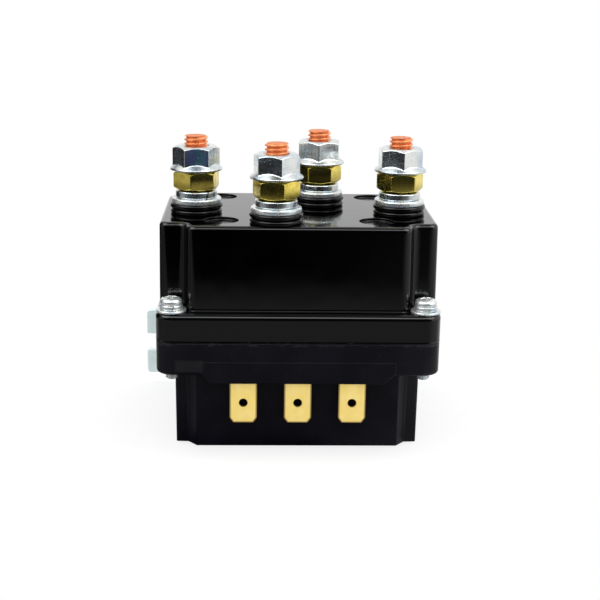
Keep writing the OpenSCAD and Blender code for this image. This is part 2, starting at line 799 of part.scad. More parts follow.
module plunger(side) {
  color(steel) at_solenoid(side) difference() {
    rod(plunger_d, plunger_z, plunger_top);
    rod(pocket_d, plunger_z - cut, plunger_z + pocket_t);
    rod(rod_d + 2 * thread_gap, plunger_top - rod_grip, plunger_top + cut);
  }
}

module push_rod(side) {
  color(brass) at_solenoid(side) rod(rod_d, plunger_top - rod_grip, rod_top);
}

// Insulating bush that lifts the bridge off the plunger
module contact_carrier(side) {
  color(nylon) at_solenoid(side) difference() {
    rod(bush_d, plunger_top, bridge_z);
    rod(rod_d + 2 * thread_gap, plunger_top - cut, bridge_z + cut);
  }
}

module contact_bridge(side) {
  length = rivet_reach + rivet_d / 2;
  color(copper) at_solenoid(side) difference() {
    box_at(-length, length, -bridge_w / 2, bridge_w / 2, bridge_z, bridge_z + contact_t);
    rod(rod_d + 2 * thread_gap, bridge_z - cut, bridge_z + contact_t + cut);
    for (end = [-1, 1]) translate([end * rivet_reach, 0, 0])
      rod(rivet_d / 2 + 2 * thread_gap, bridge_z - cut, bridge_z + contact_t + cut);
  }
}

module contact_rivets(side) {
  color(silver) at_solenoid(side) for (end = [-1, 1]) translate([end * rivet_reach, 0, 0]) {
    rod(rivet_d, bridge_z - rivet_h, bridge_z);
    rod(rivet_d / 2, bridge_z, bridge_z + contact_t);
    rod(rivet_d, bridge_z + contact_t, bridge_z + contact_t + rivet_h);
  }
}

module rod_clip(side) {
  z0 = bridge_z + contact_t;
  color(steel) at_solenoid(side) difference() {
    rod(clip_d, z0, z0 + clip_t);
    rod(rod_d + 2 * thread_gap, z0 - cut, z0 + clip_t + cut);
  }
}

// Coil spring as one swept wire
module return_spring(side) {
  steps = 16;
  sides = 6;
  count = spring_turns * steps;
  r = (spring_d - spring_wire) / 2;
  w = spring_wire / 2;
  rise = (spring_h - spring_wire - 2 * gap / 5) / count;
  start = spring_z + w + gap / 5;
  last = count * sides;
  color(steel) at_solenoid(side) polyhedron(
    points = [for (i = [0:count], k = [0:sides - 1])
      let (a = 360 * i / steps, b = 360 * k / sides, q = r + w * cos(b))
      [q * cos(a), q * sin(a), start + rise * i + w * sin(b)]],
    faces = concat(
      [[for (k = [0:sides - 1]) k]],
      [for (i = [0:count - 1], k = [0:sides - 1])
        let (a = i * sides + k, b = i * sides + (k + 1) % sides) [a, a + sides, b + sides]],
      [for (i = [0:count - 1], k = [0:sides - 1])
        let (a = i * sides + k, b = i * sides + (k + 1) % sides) [a, b + sides, b]],
      [[for (k = [sides - 1:-1:0]) last + k]]
    ),
    convexity = 10
  );
}

module plunger_left() { plunger(-1); }
module plunger_right() { plunger(1); }
module push_rod_left() { push_rod(-1); }
module push_rod_right() { push_rod(1); }
module contact_carrier_left() { contact_carrier(-1); }
module contact_carrier_right() { contact_carrier(1); }
module contact_bridge_left() { contact_bridge(-1); }
module contact_bridge_right() { contact_bridge(1); }
module contact_rivets_left() { contact_rivets(-1); }
module contact_rivets_right() { contact_rivets(1); }
module rod_clip_left() { rod_clip(-1); }
module rod_clip_right() { rod_clip(1); }
module return_spring_left() { return_spring(-1); }
module return_spring_right() { return_spring(1); }

upper_cover();
lower_housing();
housing_gasket();
mounting_bracket();
case_screws();
case_spring_washers();
case_flat_washers();
stud_left();
stud_front();
stud_rear();
stud_right();
stud_grommets();
stud_flat_washers();
stud_spring_washers();
stud_hex_nuts();
stud_flange_nuts();
spade_tab_left();
spade_tab_centre();
spade_tab_right();
motor_contact_left();
motor_contact_right();
battery_bus_lower();
battery_bus_upper();
yoke_frames();
yoke_top_plates();
bobbins();
coil_windings();
fixed_cores();
coil_leads();
partition_plate();
plunger_left();
plunger_right();
push_rod_left();
push_rod_right();
contact_carrier_left();
contact_carrier_right();
contact_bridge_left();
contact_bridge_right();
contact_rivets_left();
contact_rivets_right();
rod_clip_left();
rod_clip_right();
return_spring_left();
return_spring_right();
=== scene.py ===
import json
import math
from types import SimpleNamespace

import bmesh
import bpy
import numpy as np
from bpy.props import FloatProperty, FloatVectorProperty, PointerProperty
from mathutils import Matrix, Vector
from mathutils.geometry import tessellate_polygon


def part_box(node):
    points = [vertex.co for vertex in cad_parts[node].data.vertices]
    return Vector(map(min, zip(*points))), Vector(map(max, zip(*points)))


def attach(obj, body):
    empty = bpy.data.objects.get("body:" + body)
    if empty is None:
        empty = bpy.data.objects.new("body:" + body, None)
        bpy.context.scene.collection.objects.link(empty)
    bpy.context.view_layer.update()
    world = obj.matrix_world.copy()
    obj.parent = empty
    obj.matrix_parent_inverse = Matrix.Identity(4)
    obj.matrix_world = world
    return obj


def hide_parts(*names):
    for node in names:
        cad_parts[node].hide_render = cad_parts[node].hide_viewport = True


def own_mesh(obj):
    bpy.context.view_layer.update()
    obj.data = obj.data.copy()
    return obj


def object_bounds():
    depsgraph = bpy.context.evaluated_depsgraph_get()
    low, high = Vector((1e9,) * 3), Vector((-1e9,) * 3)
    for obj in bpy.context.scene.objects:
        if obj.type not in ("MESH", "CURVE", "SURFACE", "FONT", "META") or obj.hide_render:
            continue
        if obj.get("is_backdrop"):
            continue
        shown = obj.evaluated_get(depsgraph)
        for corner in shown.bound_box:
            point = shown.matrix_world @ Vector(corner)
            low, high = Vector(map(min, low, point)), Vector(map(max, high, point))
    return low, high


bl_info = {
    "name": "Starter relay",
    "version": (1, 0, 0),
    "blender": (4, 5, 0),
    "location": "View3D > Sidebar > Relay",
    "description": "Dresses the starter relay's packed frame with detailed pieces and finishes",
    "category": "Object",
}

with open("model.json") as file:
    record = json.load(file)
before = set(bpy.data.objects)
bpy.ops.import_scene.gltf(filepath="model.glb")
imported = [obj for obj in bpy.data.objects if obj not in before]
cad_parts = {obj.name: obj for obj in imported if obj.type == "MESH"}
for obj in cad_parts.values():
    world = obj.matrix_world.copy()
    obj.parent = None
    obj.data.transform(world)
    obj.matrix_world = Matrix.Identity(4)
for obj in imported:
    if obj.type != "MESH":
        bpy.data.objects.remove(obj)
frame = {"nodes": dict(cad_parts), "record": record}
frame_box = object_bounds()
COVER_LOW, COVER_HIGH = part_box("upper_cover")
BRACKET_LOW, BRACKET_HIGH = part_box("mounting_bracket")
STUD_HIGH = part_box("stud_left")[1]

MM = 0.001
WELD = 3e-7
JOINT_Z = COVER_LOW[2]
RIGHT_ANGLE = math.tau / 4
SIXTH = math.tau / 6
HEAD_BULGE = 0.26

# The studs, how far each thread is shifted up, and the turns in degrees of what is stacked on each stud
STUDS = ("left", "front", "rear", "right")
THREAD_LIFTS = (0.5, 0, 0.3, 0.5)
SPLIT_TURNS = (-56, 170, -137, 60)
PLAIN_NUT_TURNS = (-11, -42.7, -29.7, -26.9)
FLANGE_NUT_TURNS = (-26.1, -49.3, -3.8, -57.6)


# Sizes and colours

def length(name, millimetres, text):
    """A size of the part, held in metres."""
    return FloatProperty(name=name, default=millimetres * MM, unit="LENGTH", description=text)


def angle(name, degrees, text):
    """A turn of a part, held in radians."""
    return FloatProperty(name=name, default=math.radians(degrees), subtype="ANGLE", description=text)


def power(name, watts, text):
    """The power of a lamp."""
    return FloatProperty(name=name, default=watts, unit="POWER", min=0, description=text)


def colour(name, value, text):
    """A linear colour."""
    return FloatVectorProperty(name=name, default=value, subtype="COLOR", min=0, max=1, description=text)


class CaseSizes(bpy.types.PropertyGroup):
    """Sizes of the moulded cover and housing."""
    flange_w: length("Flange width", 2 * COVER_HIGH[0] / MM, "Width of the flange")
    flange_d: length("Flange depth", 2 * COVER_HIGH[1] / MM, "Depth of the flange")
    flange_r: length("Flange corner", 4, "Radius of the flange corners seen from above")
    flange_z: length("Flange underside", 18.8, "Underside of the flange, above the base")
    parting_z: length("Joint height", COVER_LOW[2] / MM, "Height of the joint between housing and cover")
    flange_top: length("Flange top", 33.4, "Top of the cover's flange")
    cover_top: length("Cover top", COVER_HIGH[2] / MM, "Height of the roof")
    roof_z: length("Roof underside", 50.7, "Underside of the roof")
    cover_x: length("Cover half width", 32.2, "Half the width of the cover at its top")
    cover_y: length("Cover half depth", 21.7, "Half the depth of the cover at its top")
    cover_face_x: length("Cover face", 25.404, "Half the width of the cover's front face")
    cover_notch_y: length("Cover notch", 17.534, "Half the depth of the cover's corner columns")
    cover_slant: length("Cover slant", 0.85, "How far the notches open outwards")
    cover_r_face: length("Cover face corner", 2.2, "Radius of the upright corners of the front and back face")
    cover_r_hollow: length("Cover hollow corner", 2.1, "Radius of the hollow corners in the front notches")
    cover_r_out: length("Cover outer corner", 2.1, "Radius of the outer upright corners")
    cover_r_rear: length("Cover rear hollow", 1.2, "Radius of the hollow corners in the rear notches")
    groove_in: length("Seal groove inside", 1.65, "Inset of the seal groove's inner side")
    groove_out: length("Seal groove outside", 0.35, "Inset of the seal groove's outer side")
    groove_t: length("Seal groove depth", 0.8, "Depth of the seal groove in the cover's foot")
    stud_hole_r: length("Stud hole radius", 4.4, "Radius of the studs' holes in the roof")
    tower_r: length("Tower radius", 6, "Radius of the towers under the roof that carry the studs")
    tower_z: length("Tower underside", 43, "Underside of those towers")
    box_x: length("Box half width", 28.8, "Half the width of the lower box")
    box_y: length("Box half depth", 20.9, "Half the depth of the lower box")
    box_face_x: length("Box face", 23.9, "Half the width of the lower box's front face")
    box_notch_y: length("Box side", 18.3, "Half the depth of the lower box's side")
    box_slant: length("Box slant", 2.1, "Width of the slanted strip beside the lower box's front face")
    box_splay: length("Box splay", 0.16, "How far the box's outer corners stand back")
    box_r_face: length("Box face corner", 0.4, "Radius of the box's upright corners at faces and hollows")
    box_r_out: length("Box outer corner", 0.6, "Radius of the box's outer upright corners")
    wall: length("Wall", 2, "Wall thickness")
    floor: length("Floor", 2.4, "Floor thickness of the housing")
    cover_edge: length("Cover edge", 1, "Radius along the cover's top edge")
    flange_edge: length("Flange top edge", 1.3, "Radius along the flange's top edge")
    flange_foot: length("Flange lower edge", 0.8, "Radius along the flange's lower edge")
    box_edge: length("Base edge", 0.16, "Radius along the edge of the base")
    joint_edge: length("Joint edge", 0.22, "Radius along both edges of the joint")
    cover_back: length("Cover set-back", 0.05, "How far the cover's flange stands inside its box")
    housing_back: length("Housing set-back", 0.09, "How far the housing's flange stands inside its box")
    foot_fillet: length("Cover fillet", 0.2, "Fillet between the flange and the cover's walls")
    recess_r: length("Recess radius", 4, "Radius of the shallow recesses in the roof")
    recess_t: length("Recess depth", 0.7, "Depth of those recesses")
    recess_x: length("Front recess X", 18, "Sideways distance of the front recesses from the middle")
    recess_y: length("Front recess Y", 14.2, "Distance of the front recesses in front of the middle")
    recess_rear_x: length("Rear recess X", 18.9, "Sideways distance of the rear recesses from the middle")
    recess_rear_y: length("Rear recess Y", 15.8, "Distance of the rear recesses behind the middle")
    apron_z: length("Apron underside", 16.85, "Lower edge of the apron over the tabs")
    apron_half: length("Apron half width", 20, "Half the width of the apron's lower edge")
    apron_top: length("Apron top", 22.1, "Upper end of the apron, which stands a little proud of the flange")
    draft: angle("Draft", 0.48, "Draft angle of the moulded sides")


class StudSizes(bpy.types.PropertyGroup):
    """Sizes of the power studs and of what is stacked on them."""
    thread_r: length("Thread radius", 2.78, "Radius over the thread")
    root_r: length("Root radius", 2.28, "Radius at the root of the thread")
    pitch: length("Pitch", 1, "Rise of the thread per turn")
    top: length("Stud top", STUD_HIGH[2] / MM, "Height of the studs' ends")
    thread_z: length("Thread start", 54, "Height at which the thread starts")
    stem_r: length("Stem radius", 2.95, "Radius of the plain stem under the thread")
    collar_half: length("Collar half width", 3.6, "Half the width of the square collar under the tower")
    collar_low: length("Collar underside", 40.6, "Underside of that collar")
    collar_high: length("Collar top", 43, "Top of that collar")
    spigot_r: length("Spigot radius", 2.5, "Radius of the riveted spigot under the collar")
    nut_bore: length("Nut bore", 2.9, "Radius of the nuts' bore")
    grommet_z: length("Grommet top", 55.7, "Top of the rubber grommets")
    grommet_r: length("Grommet radius", 6.25, "Widest radius of the grommets")
    washer_z: length("Washer top", 56.9, "Top of the flat washers")
    washer_r: length("Washer radius", 5.9, "Outer radius of the flat washers")
    spring_z: length("Spring washer top", 58.6, "Top of the spring washers")
    spring_r: length("Spring washer radius", 4.9, "Outer radius of the spring washers")
    washer_bore: length("Washer bore", 3.15, "Radius of the flat washers' bore")
    spring_bore: length("Spring washer bore", 3.1, "Radius of the spring washers' bore")
    spring_gap: length("Spring washer gap", 0.28, "Gap of the spring washers' split")
    nut_z: length("Plain nut top", 63.4, "Top of the plain nuts")
    flange_nut_z: length("Flange nut top", 69.15, "Top of the flange nuts")
    nut_half: length("Nut half width", 4.86, "Half the width across the flats of the nuts")
    nut_rim: length("Flange nut rim", 6.2, "Radius of the flange nuts' flange")


class FixingSizes(bpy.types.PropertyGroup):
    """Sizes of the case screws, the tabs and the bracket."""
    screw_x: length("Screw X", 29.35, "Sideways distance of the case screws from the middle")
    screw_y: length("Screw Y", 21.35, "Front-to-back distance of the case screws from the middle")
    screw_r: length("Screw radius", 1.5, "Radius over the screws' thread")
    head_r: length("Head radius", 2.55, "Radius of the pan heads")
    head_h: length("Head height", 1.75, "Height of the pan heads")
    head_face: length("Head face", 1.66, "Radius of the pan heads' domed face")
    head_turn: angle("Head turn", 20, "Turn of the cross recesses")
    screw_washer_r: length("Screw washer radius", 3.5, "Outer radius of the small flat washers")
    screw_washer_t: length("Screw washer", 0.5, "Thickness of the small flat washers")
    screw_spring_t: length("Screw spring washer", 1.15, "Thickness of the small spring washers")
    screw_spring_r: length("Screw spring radius", 2.68, "Outer radius of the small spring washers")
    screw_bore: length("Screw washer bore", 1.6, "Radius of the small washers' bores")
    screw_split: angle("Screw split", -78, "Turn of the small spring washers' split")
    screw_gap: length("Screw split gap", 0.12, "Gap of that split")
    tab_pitch: length("Tab pitch", 12.7, "Distance from tab to tab")
    tab_w: length("Tab width", 6.35, "Width of a tab")
    tab_t: length("Tab thickness", 0.8, "Thickness of a tab")
    tab_tip: length("Tab tip", 6.8, "Height of the tabs' tips")
    tab_face: length("Tab face", 23.4, "Distance of the tabs' front faces from the middle")
    tab_hole: length("Tab hole radius", 0.98, "Radius of the hole in each tab")
    tab_hole_z: length("Tab hole height", 11.7, "Height of that hole above the base")
    tab_bevel: length("Tab bevel", 0.5, "Width of the coined border round each tab")
    tab_bend: length("Tab bend", 0.3, "Radius inside the tabs' fold")
    tab_leg: length("Tab leg", 15, "Distance of the end of the tabs' legs from the middle")
    sheet_t: length("Sheet", 1.5, "Thickness of the bracket's sheet")
    sheet_bend: length("Sheet bend", 0.85, "Radius inside the bracket's folds")
    ear_x: length("Ear end", BRACKET_HIGH[0] / MM, "Distance of the ears' ends from the middle")
    ear_z: length("Ear underside", BRACKET_LOW[2] / MM, "Underside of the ears")
    ear_h: length("Ear height", 17.5, "Height of the ears")
    slot_x: length("Slot end", 34.6, "Distance of the slots' round ends from the middle")
    slot_w: length("Slot width", 4.5, "Width of the open slots")
    lug_in: length("Lug inside", 26.72, "Inner side of the lugs under the rear screws")
    lug_out: length("Lug outside", 32.8, "Outer side of those lugs")
    lug_front: length("Lug front", 17.85, "Front end of those lugs")


class Finishes(bpy.types.PropertyGroup):
    """Colours of the finishes."""
    cover_black: colour("Cover", (0.00015, 0.00015, 0.0003), "Glossy plastic of the cover")
    housing_black: colour("Housing", (0.0015, 0.00135, 0.0039), "Satin plastic of the housing")
    rubber: colour("Rubber", (0.0006, 0.0006, 0.0007), "Grommets and seal")
    zinc: colour("Zinc", (0.78, 0.80, 0.77), "Bright zinc plating")
    zinc_blue: colour("Zinc blue", (0.58, 0.67, 0.75), "Blue tint of the zinc plating")
    yellow: colour("Yellow zinc", (0.90, 0.72, 0.15), "Yellow passivated zinc")
    yellow_dark: colour("Yellow zinc, dark", (0.62, 0.50, 0.09), "Olive tint of the yellow zinc")
    sheet: colour("Bracket zinc", (0.83, 0.975, 0.96), "Satin zinc of the bracket")
    copper: colour("Copper", (0.98, 0.36, 0.14), "Copper of the studs")
    brass: colour("Brass", (0.90, 0.675, 0.18), "Brass of the tabs")
    silver: colour("Silver", (0.88, 0.87, 0.84), "Silver of the contact rivets")
    iron: colour("Iron", (0.45, 0.46, 0.48), "Plated soft iron")
    nylon: colour("Nylon", (0.82, 0.80, 0.72), "Natural nylon")
    enamel: colour("Enamel", (0.50, 0.18, 0.07), "Enamelled copper wire")
    laminate: colour("Laminate", (0.26, 0.14, 0.07), "Brown laminate")
    floor: colour("Floor", (0.86, 0.86, 0.86), "Pale floor")
    room: colour("Room", (0.024, 0.032, 0.044), "Dark walls of the room, as reflections show them")


class StageSettings(bpy.types.PropertyGroup):
    """The camera fitted to the photograph, and the lamps."""
    pitch: angle("Camera pitch", 15.207, "How far the camera looks down")
    yaw: angle("Camera yaw", 2.084, "How far the camera is turned to the right")
    roll: angle("Camera roll", 0.909, "How far the camera is tilted about its own axis")
    place: FloatVectorProperty(name="Camera place", default=(-0.009892, -0.299621, 0.111789), precision=6,
                               subtype="TRANSLATION", unit="LENGTH", description="Where the camera stands")
    lens: FloatProperty(name="Lens", default=75.276, unit="CAMERA", description="Focal length, 36 mm sensor")
    strip: power("Strip light", 0.6, "Power of the long lamp overhead")
    right_box: power("Right softbox", 0.6, "Power of the lamp at the right")
    left_box: power("Left softbox", 0.36, "Power of the lamp at the left")


def in_mm(group):
    """The group's lengths in millimetres and its angles in radians, by name."""
    values = {}
    for name, prop in group.bl_rna.properties.items():
        if prop.type == "FLOAT" and not prop.is_array:
            share = 1 if prop.unit == "ROTATION" else 1 / MM
            values[name] = getattr(group, name) * share
    return SimpleNamespace(**values)


# Outlines

def unit(rows):
    """Each row divided by its own length."""
    return rows / np.linalg.norm(rows, axis=-1, keepdims=True)


def rounded(points, radii, steps=8, ease=0.06):
    """Closed outline whose corners are turned on their own radii. An arc's centre lies on the corner's
    bisector, radius / sin(half angle) away, and its ends radius / tan(half angle) along both sides. One
    more point follows each end by the length ease, so the straight sides stay flat when shaded."""
    q = np.asarray(points, float)
    r = np.broadcast_to(np.asarray(radii, float), (len(q),))[:, None]
    u = unit(np.roll(q, 1, 0) - q)
    v = unit(np.roll(q, -1, 0) - q)
    half = np.arccos(np.clip((u * v).sum(1, keepdims=True), -1, 1)) / 2
    centre = q + unit(u + v) * r / np.sin(half)
    start = q + u * r / np.tan(half)
    end = q + v * r / np.tan(half)
    first = np.arctan2(*(start - centre).T[::-1])
    last = np.arctan2(*(end - centre).T[::-1])
    sweep = (last - first + math.pi) % math.tau - math.pi
    turn = first[:, None] + sweep[:, None] * np.linspace(0, 1, steps + 1)
    arc = centre[:, None] + r[:, None] * np.stack([np.cos(turn), np.sin(turn)], -1)
    rows = [(start + u * ease)[:, None], arc, (end + v * ease)[:, None]]
    return np.concatenate(rows, 1).reshape(-1, 2)


def shrunk(points, radii, inset, steps=8, ease=0.06):
    """The rounded outline moved inwards by the inset. Each corner moves by inset * (n1 + n2) / (1 + n1.n2),
    with n1 and n2 the inward normals of its two sides, and its radius by the inset, less at convex
    corners and more at hollow ones. The points run anticlockwise."""
    q = np.asarray(points, float)
    before = unit(q - np.roll(q, 1, 0))
    after = unit(np.roll(q, -1, 0) - q)
    n1 = np.stack([-before[:, 1], before[:, 0]], 1)
    n2 = np.stack([-after[:, 1], after[:, 0]], 1)
    moved = q + inset * (n1 + n2) / (1 + (n1 * n2).sum(1, keepdims=True))
    convex = before[:, 0] * after[:, 1] - before[:, 1] * after[:, 0] > 0
    r = np.maximum(np.asarray(radii, float) + np.where(convex, -inset, inset), 0.04)
    return rounded(moved, r, steps, ease)


def notched(x, y, face_x, slant, notch_y, radii, inset, steps=8, splay=0.0):
    """Outline with four cut-back corners: a front and back face, two side columns, and slanted walls
    between them. Every half size is less by the inset, and the corners are turned on the radii of face,
    hollow and column, less or more by the inset. A fourth radius, where there is one, is that of the
    rear hollows. The columns' outer corners stand back by the splay."""
    hx = x - inset
    hy = y - inset
    fx = face_x - inset
    sx = face_x + slant - inset
    ny = notch_y - inset
    face = max(radii[0] - inset, 0.06)
    hollow = radii[1] + max(inset, 0)
    rear = radii[-1] + max(inset, 0) if len(radii) > 3 else hollow
    outer = max(radii[2] - inset, 0.12)
    oy = ny - splay
    corners = [(-fx, -hy), (fx, -hy), (sx, -ny), (hx, -oy), (hx, oy), (sx, ny),
               (fx, hy), (-fx, hy), (-sx, ny), (-hx, oy), (-hx, -oy), (-sx, -ny)]
    turned = [face, face, hollow, outer, outer, rear, face, face, rear, outer, outer, hollow]
    return rounded(corners, turned, steps)


def rectangle(x, y, r, steps=8, ease=0.06):
    """Rectangle of half sizes x and y about the origin, with its corners turned on the radius r."""
    return rounded([(-x, -y), (x, -y), (x, y), (-x, y)], r, steps, ease)


def ring(r, count=48, centre=(0, 0)):
    """Circle as a closed outline: x + r cos(turn), y + r sin(turn)."""
    turn = turns(count)
    return np.stack([centre[0] + r * np.cos(turn), centre[1] + r * np.sin(turn)], 1)


def at_height(outline, z):
    """The flat outline lifted to a height."""
    return np.column_stack([outline, np.full(len(outline), float(z))])


def quarter(r, steps=8):
    """Offsets of a quarter round of radius r: across r * (1 - cos t) and along r * (1 - sin t)."""
    t = np.linspace(0, RIGHT_ANGLE, steps + 1)
    return np.stack([r * (1 - np.cos(t)), r * (1 - np.sin(t))], 1)


def about(centre, r, turn, z):
    """Points at a radius, turn and height about an upright axis: x + r cos(turn), y + r sin(turn), z."""
    shape = np.broadcast_arrays(centre[0] + r * np.cos(turn), centre[1] + r * np.sin(turn), z)
    return np.stack(shape, -1)


def turns(count):
    """Even steps round a circle."""
    return np.arange(count) * math.tau / count


def ramp(value, low, high):
    """Smooth step from 0 at low to 1 at high: 3 t^2 - 2 t^3."""
    t = np.clip((np.asarray(value, float) - low) / (high - low), 0, 1)
    return t * t * (3 - 2 * t)


# Meshes

class Skin:
    """Gathers grids and flat regions of points, in millimetres, into one closed mesh."""

    def __init__(self):
        self.blocks = []
        self.faces = []
        self.count = 0

    def add(self, points):
        """Adds points and returns the number of the first."""
        block = np.asarray(points, float).reshape(-1, 3)
        start = self.count
        self.blocks.append(block)
        self.count += len(block)
        return start

    def grid(self, points, wrap_rows=False, wrap_columns=True):
        """Joins each point of a grid to its neighbours along the rows and columns by four-sided faces."""
        points = np.asarray(points, float)
        rows, columns = points.shape[:2]
        numbers = self.add(points) + np.arange(rows * columns).reshape(rows, columns)
        if wrap_rows:
            numbers = np.vstack([numbers, numbers[:1]])
        if wrap_columns:
            numbers = np.hstack([numbers, numbers[:, :1]])
        sides = [numbers[:-1, :-1], numbers[:-1, 1:], numbers[1:, 1:], numbers[1:, :-1]]
        self.faces.extend(np.stack(sides, -1).reshape(-1, 4).tolist())

    def region(self, loops):
        """Fills the flat region inside the first loop and outside the others."""
        start = self.add(np.vstack(loops))
        corners = tessellate_polygon([[Vector(p) for p in loop] for loop in loops])
        self.faces.extend([[start + i for i in corner] for corner in corners])

    def lathe(self, profile, count=64, centre=(0, 0), wrap=False):
        """Turns a profile of radius and height about a vertical line. A radius of 0 closes it in a pole."""
        profile = np.asarray(profile, float)
        self.grid(about(centre, profile[:, :1], turns(count), profile[:, 1:]), wrap_rows=wrap)

    def cap(self, loop, share):
        """Closes the end of a tube: its loop shrunk towards its middle by the share, and then to it."""
        middle = loop.mean(0)
        self.grid(np.stack([loop, loop * share + middle * (1 - share), loop * 0 + middle]))

    def piece(self, name, body, finish, slot, sharp=38.0):
        """Welds the points, turns every face outwards, shades it smooth up to the sharp angle and makes
        the piece, which rides on its body."""
        mesh = bpy.data.meshes.new(name)
        mesh.from_pydata((np.vstack(self.blocks) * MM).tolist(), [], self.faces)
        shape = bmesh.new()
        shape.from_mesh(mesh)
        bmesh.ops.remove_doubles(shape, verts=shape.verts, dist=WELD)
        bmesh.ops.recalc_face_normals(shape, faces=shape.faces)
        shape.to_mesh(mesh)
        shape.free()
        mesh.shade_smooth()
        mesh.set_sharp_from_angle(angle=math.radians(sharp))
        piece = bpy.data.objects.new(name, mesh)
        bpy.context.scene.collection.objects.link(piece)
        mesh.materials.append(finish)
        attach(piece, body)
        return piece


# Node trees

class Term:
    """One socket of a node tree. Arithmetic on it adds Math nodes."""

    def __init__(self, paint, socket):
        self.paint = paint
        self.socket = socket

    def math(self, operation, *values):
        """The result of a Math node on this socket and any further values."""
        return self.paint.math(operation, self, *values)

    def __add__(self, other):
        return self.math("ADD", other)

    def __radd__(self, other):
        return self.paint.math("ADD", other, self)

    def __sub__(self, other):
        return self.math("SUBTRACT", other)

    def __rsub__(self, other):
        return self.paint.math("SUBTRACT", other, self)

    def __mul__(self, other):
        return self.math("MULTIPLY", other)

    def __rmul__(self, other):
        return self.paint.math("MULTIPLY", other, self)

    def __truediv__(self, other):
        return self.math("DIVIDE", other)

    def __pow__(self, other):
        return self.math("POWER", other)

    def __abs__(self):
        return self.math("ABSOLUTE")


class Paint:
    """Adds nodes to one tree."""

    def __init__(self, tree):
        self.tree = tree

    def node(self, kind, settings=None, output=0, **values):
        """Adds a node of the kind, sets its settings first, then the values or links of its sockets, which
        are called by identifier, or by name with underscores for spaces, and returns its output."""
        made = self.tree.nodes.new(kind)
        for name, value in (settings or {}).items():
            setattr(made, name, value)
        for name, value in values.items():
            named = [s for s in made.inputs if s.identifier == name]
            named += [s for s in made.inputs if s.name == name.replace("_", " ")]
            self.feed(named[0], value)
        return Term(self, made.outputs[output])

    def feed(self, socket, value):
        """Links a term to the socket, or sets its value."""
        if isinstance(value, Term):
            self.tree.links.new(value.socket, socket)
        else:
            socket.default_value = value

    def math(self, operation, *values):
        """Adds a Math node on one or two values."""
        sockets = dict(zip(("Value", "Value_001"), values))
        return self.node("ShaderNodeMath", {"operation": operation}, **sockets)

    def place(self, scale=(1, 1, 1)):
        """Object coordinates, stretched along each axis."""
        where = self.node("ShaderNodeTexCoord", output="Object")
        if scale == (1, 1, 1):
            return where
        return self.node("ShaderNodeVectorMath", {"operation": "MULTIPLY"}, Vector=where, Vector_001=scale)

    def axes(self, way=None):
        """The x, y and z of a vector, or else of the object coordinates."""
        way = way or self.place()
        return [self.node("ShaderNodeSeparateXYZ", output=name, Vector=way) for name in "XYZ"]

    def noise(self, scale, detail=3.0, roughness=0.5, stretch=(1, 1, 1)):
        """Smooth noise, its scale in cells per metre."""
        return self.node("ShaderNodeTexNoise", Vector=self.place(stretch), Scale=scale, Detail=detail,
                         Roughness=roughness)

    def specks(self, scale, size, stretch=(1, 1, 1)):
        """Small round dots: 1 at the cells' points, 0 beyond the size."""
        far = self.node("ShaderNodeTexVoronoi", Vector=self.place(stretch), Scale=scale)
        return self.ramp(far, size, size * 0.4)

    def ramp(self, value, low, high, start=0.0, end=1.0):
        """Smooth step of a value from start at low to end at high."""
        settings = {"interpolation_type": "SMOOTHSTEP"}
        return self.node("ShaderNodeMapRange", settings, Value=value, From_Min=low, From_Max=high,
                         To_Min=start, To_Max=end)

    def band(self, value, middle, near, far):
        """1 where the value is nearer to the middle than near, falling to 0 at far."""
        return self.ramp(abs(value - middle), far, near)

    def mirrored(self):
        """1 for rays that come by way of a reflection or through clear matter, 0 for the others."""
        glossy = self.node("ShaderNodeLightPath", output="Is Glossy Ray")
        return glossy.math("MAXIMUM", self.node("ShaderNodeLightPath", output="Is Transmission Ray"))

    def mix(self, share, a, b, blend="MIX"):
        """Colour between a and b."""
        a = a if isinstance(a, Term) else (*a[:3], 1)
        b = b if isinstance(b, Term) else (*b[:3], 1)
        return self.node("ShaderNodeMix", {"data_type": "RGBA", "blend_type": blend}, output=2,
                         Factor_Float=share, A_Color=a, B_Color=b)


class Finish(Paint):
    """A material with one Principled shader."""

    def __init__(self, name, **settings):
        self.material = bpy.data.materials.new(name)
        self.material.use_nodes = True
        super().__init__(self.material.node_tree)
        self.shader = self.tree.nodes["Principled BSDF"]
        for socket, value in settings.items():
            self.shader.inputs[socket.replace("_", " ")].default_value = value

    def colour(self, value):
        """Sets the colour."""
        self.feed(self.shader.inputs["Base Color"], value)

    def rough(self, value):
        """Sets the roughness."""
        self.feed(self.shader.inputs["Roughness"], value)

    def bump(self, height, distance):
        """Raises the surface by the height times the distance in millimetres."""
        normal = self.node("ShaderNodeBump", Height=height, Distance=distance * MM)
        self.feed(self.shader.inputs["Normal"], normal)


def times(tint, share):
    """A darker or lighter colour: each channel times the share."""
    return tuple(v * share for v in tint)


FINISHES = {}


def finish(name):
    """The named finish's material, made on its first use."""
    if name not in FINISHES:
        FINISHES[name] = FINISH_MAKERS[name](bpy.context.scene.relay_finishes)
    return FINISHES[name]


def joint_marks(p, z, height, scale, worn):
    """Pale flecks where the joint's burr was trimmed, in a line at the height."""
    return p.band(z, height, 0.0001, 0.0004) * p.ramp(p.noise(scale, 4.0, 0.8), *worn)


def joint_burr(p, z):
    """Uneven height along the joint."""
    return p.band(z, JOINT_Z, 0.0001, 0.0006) * p.noise(900, 4.0, 0.8)


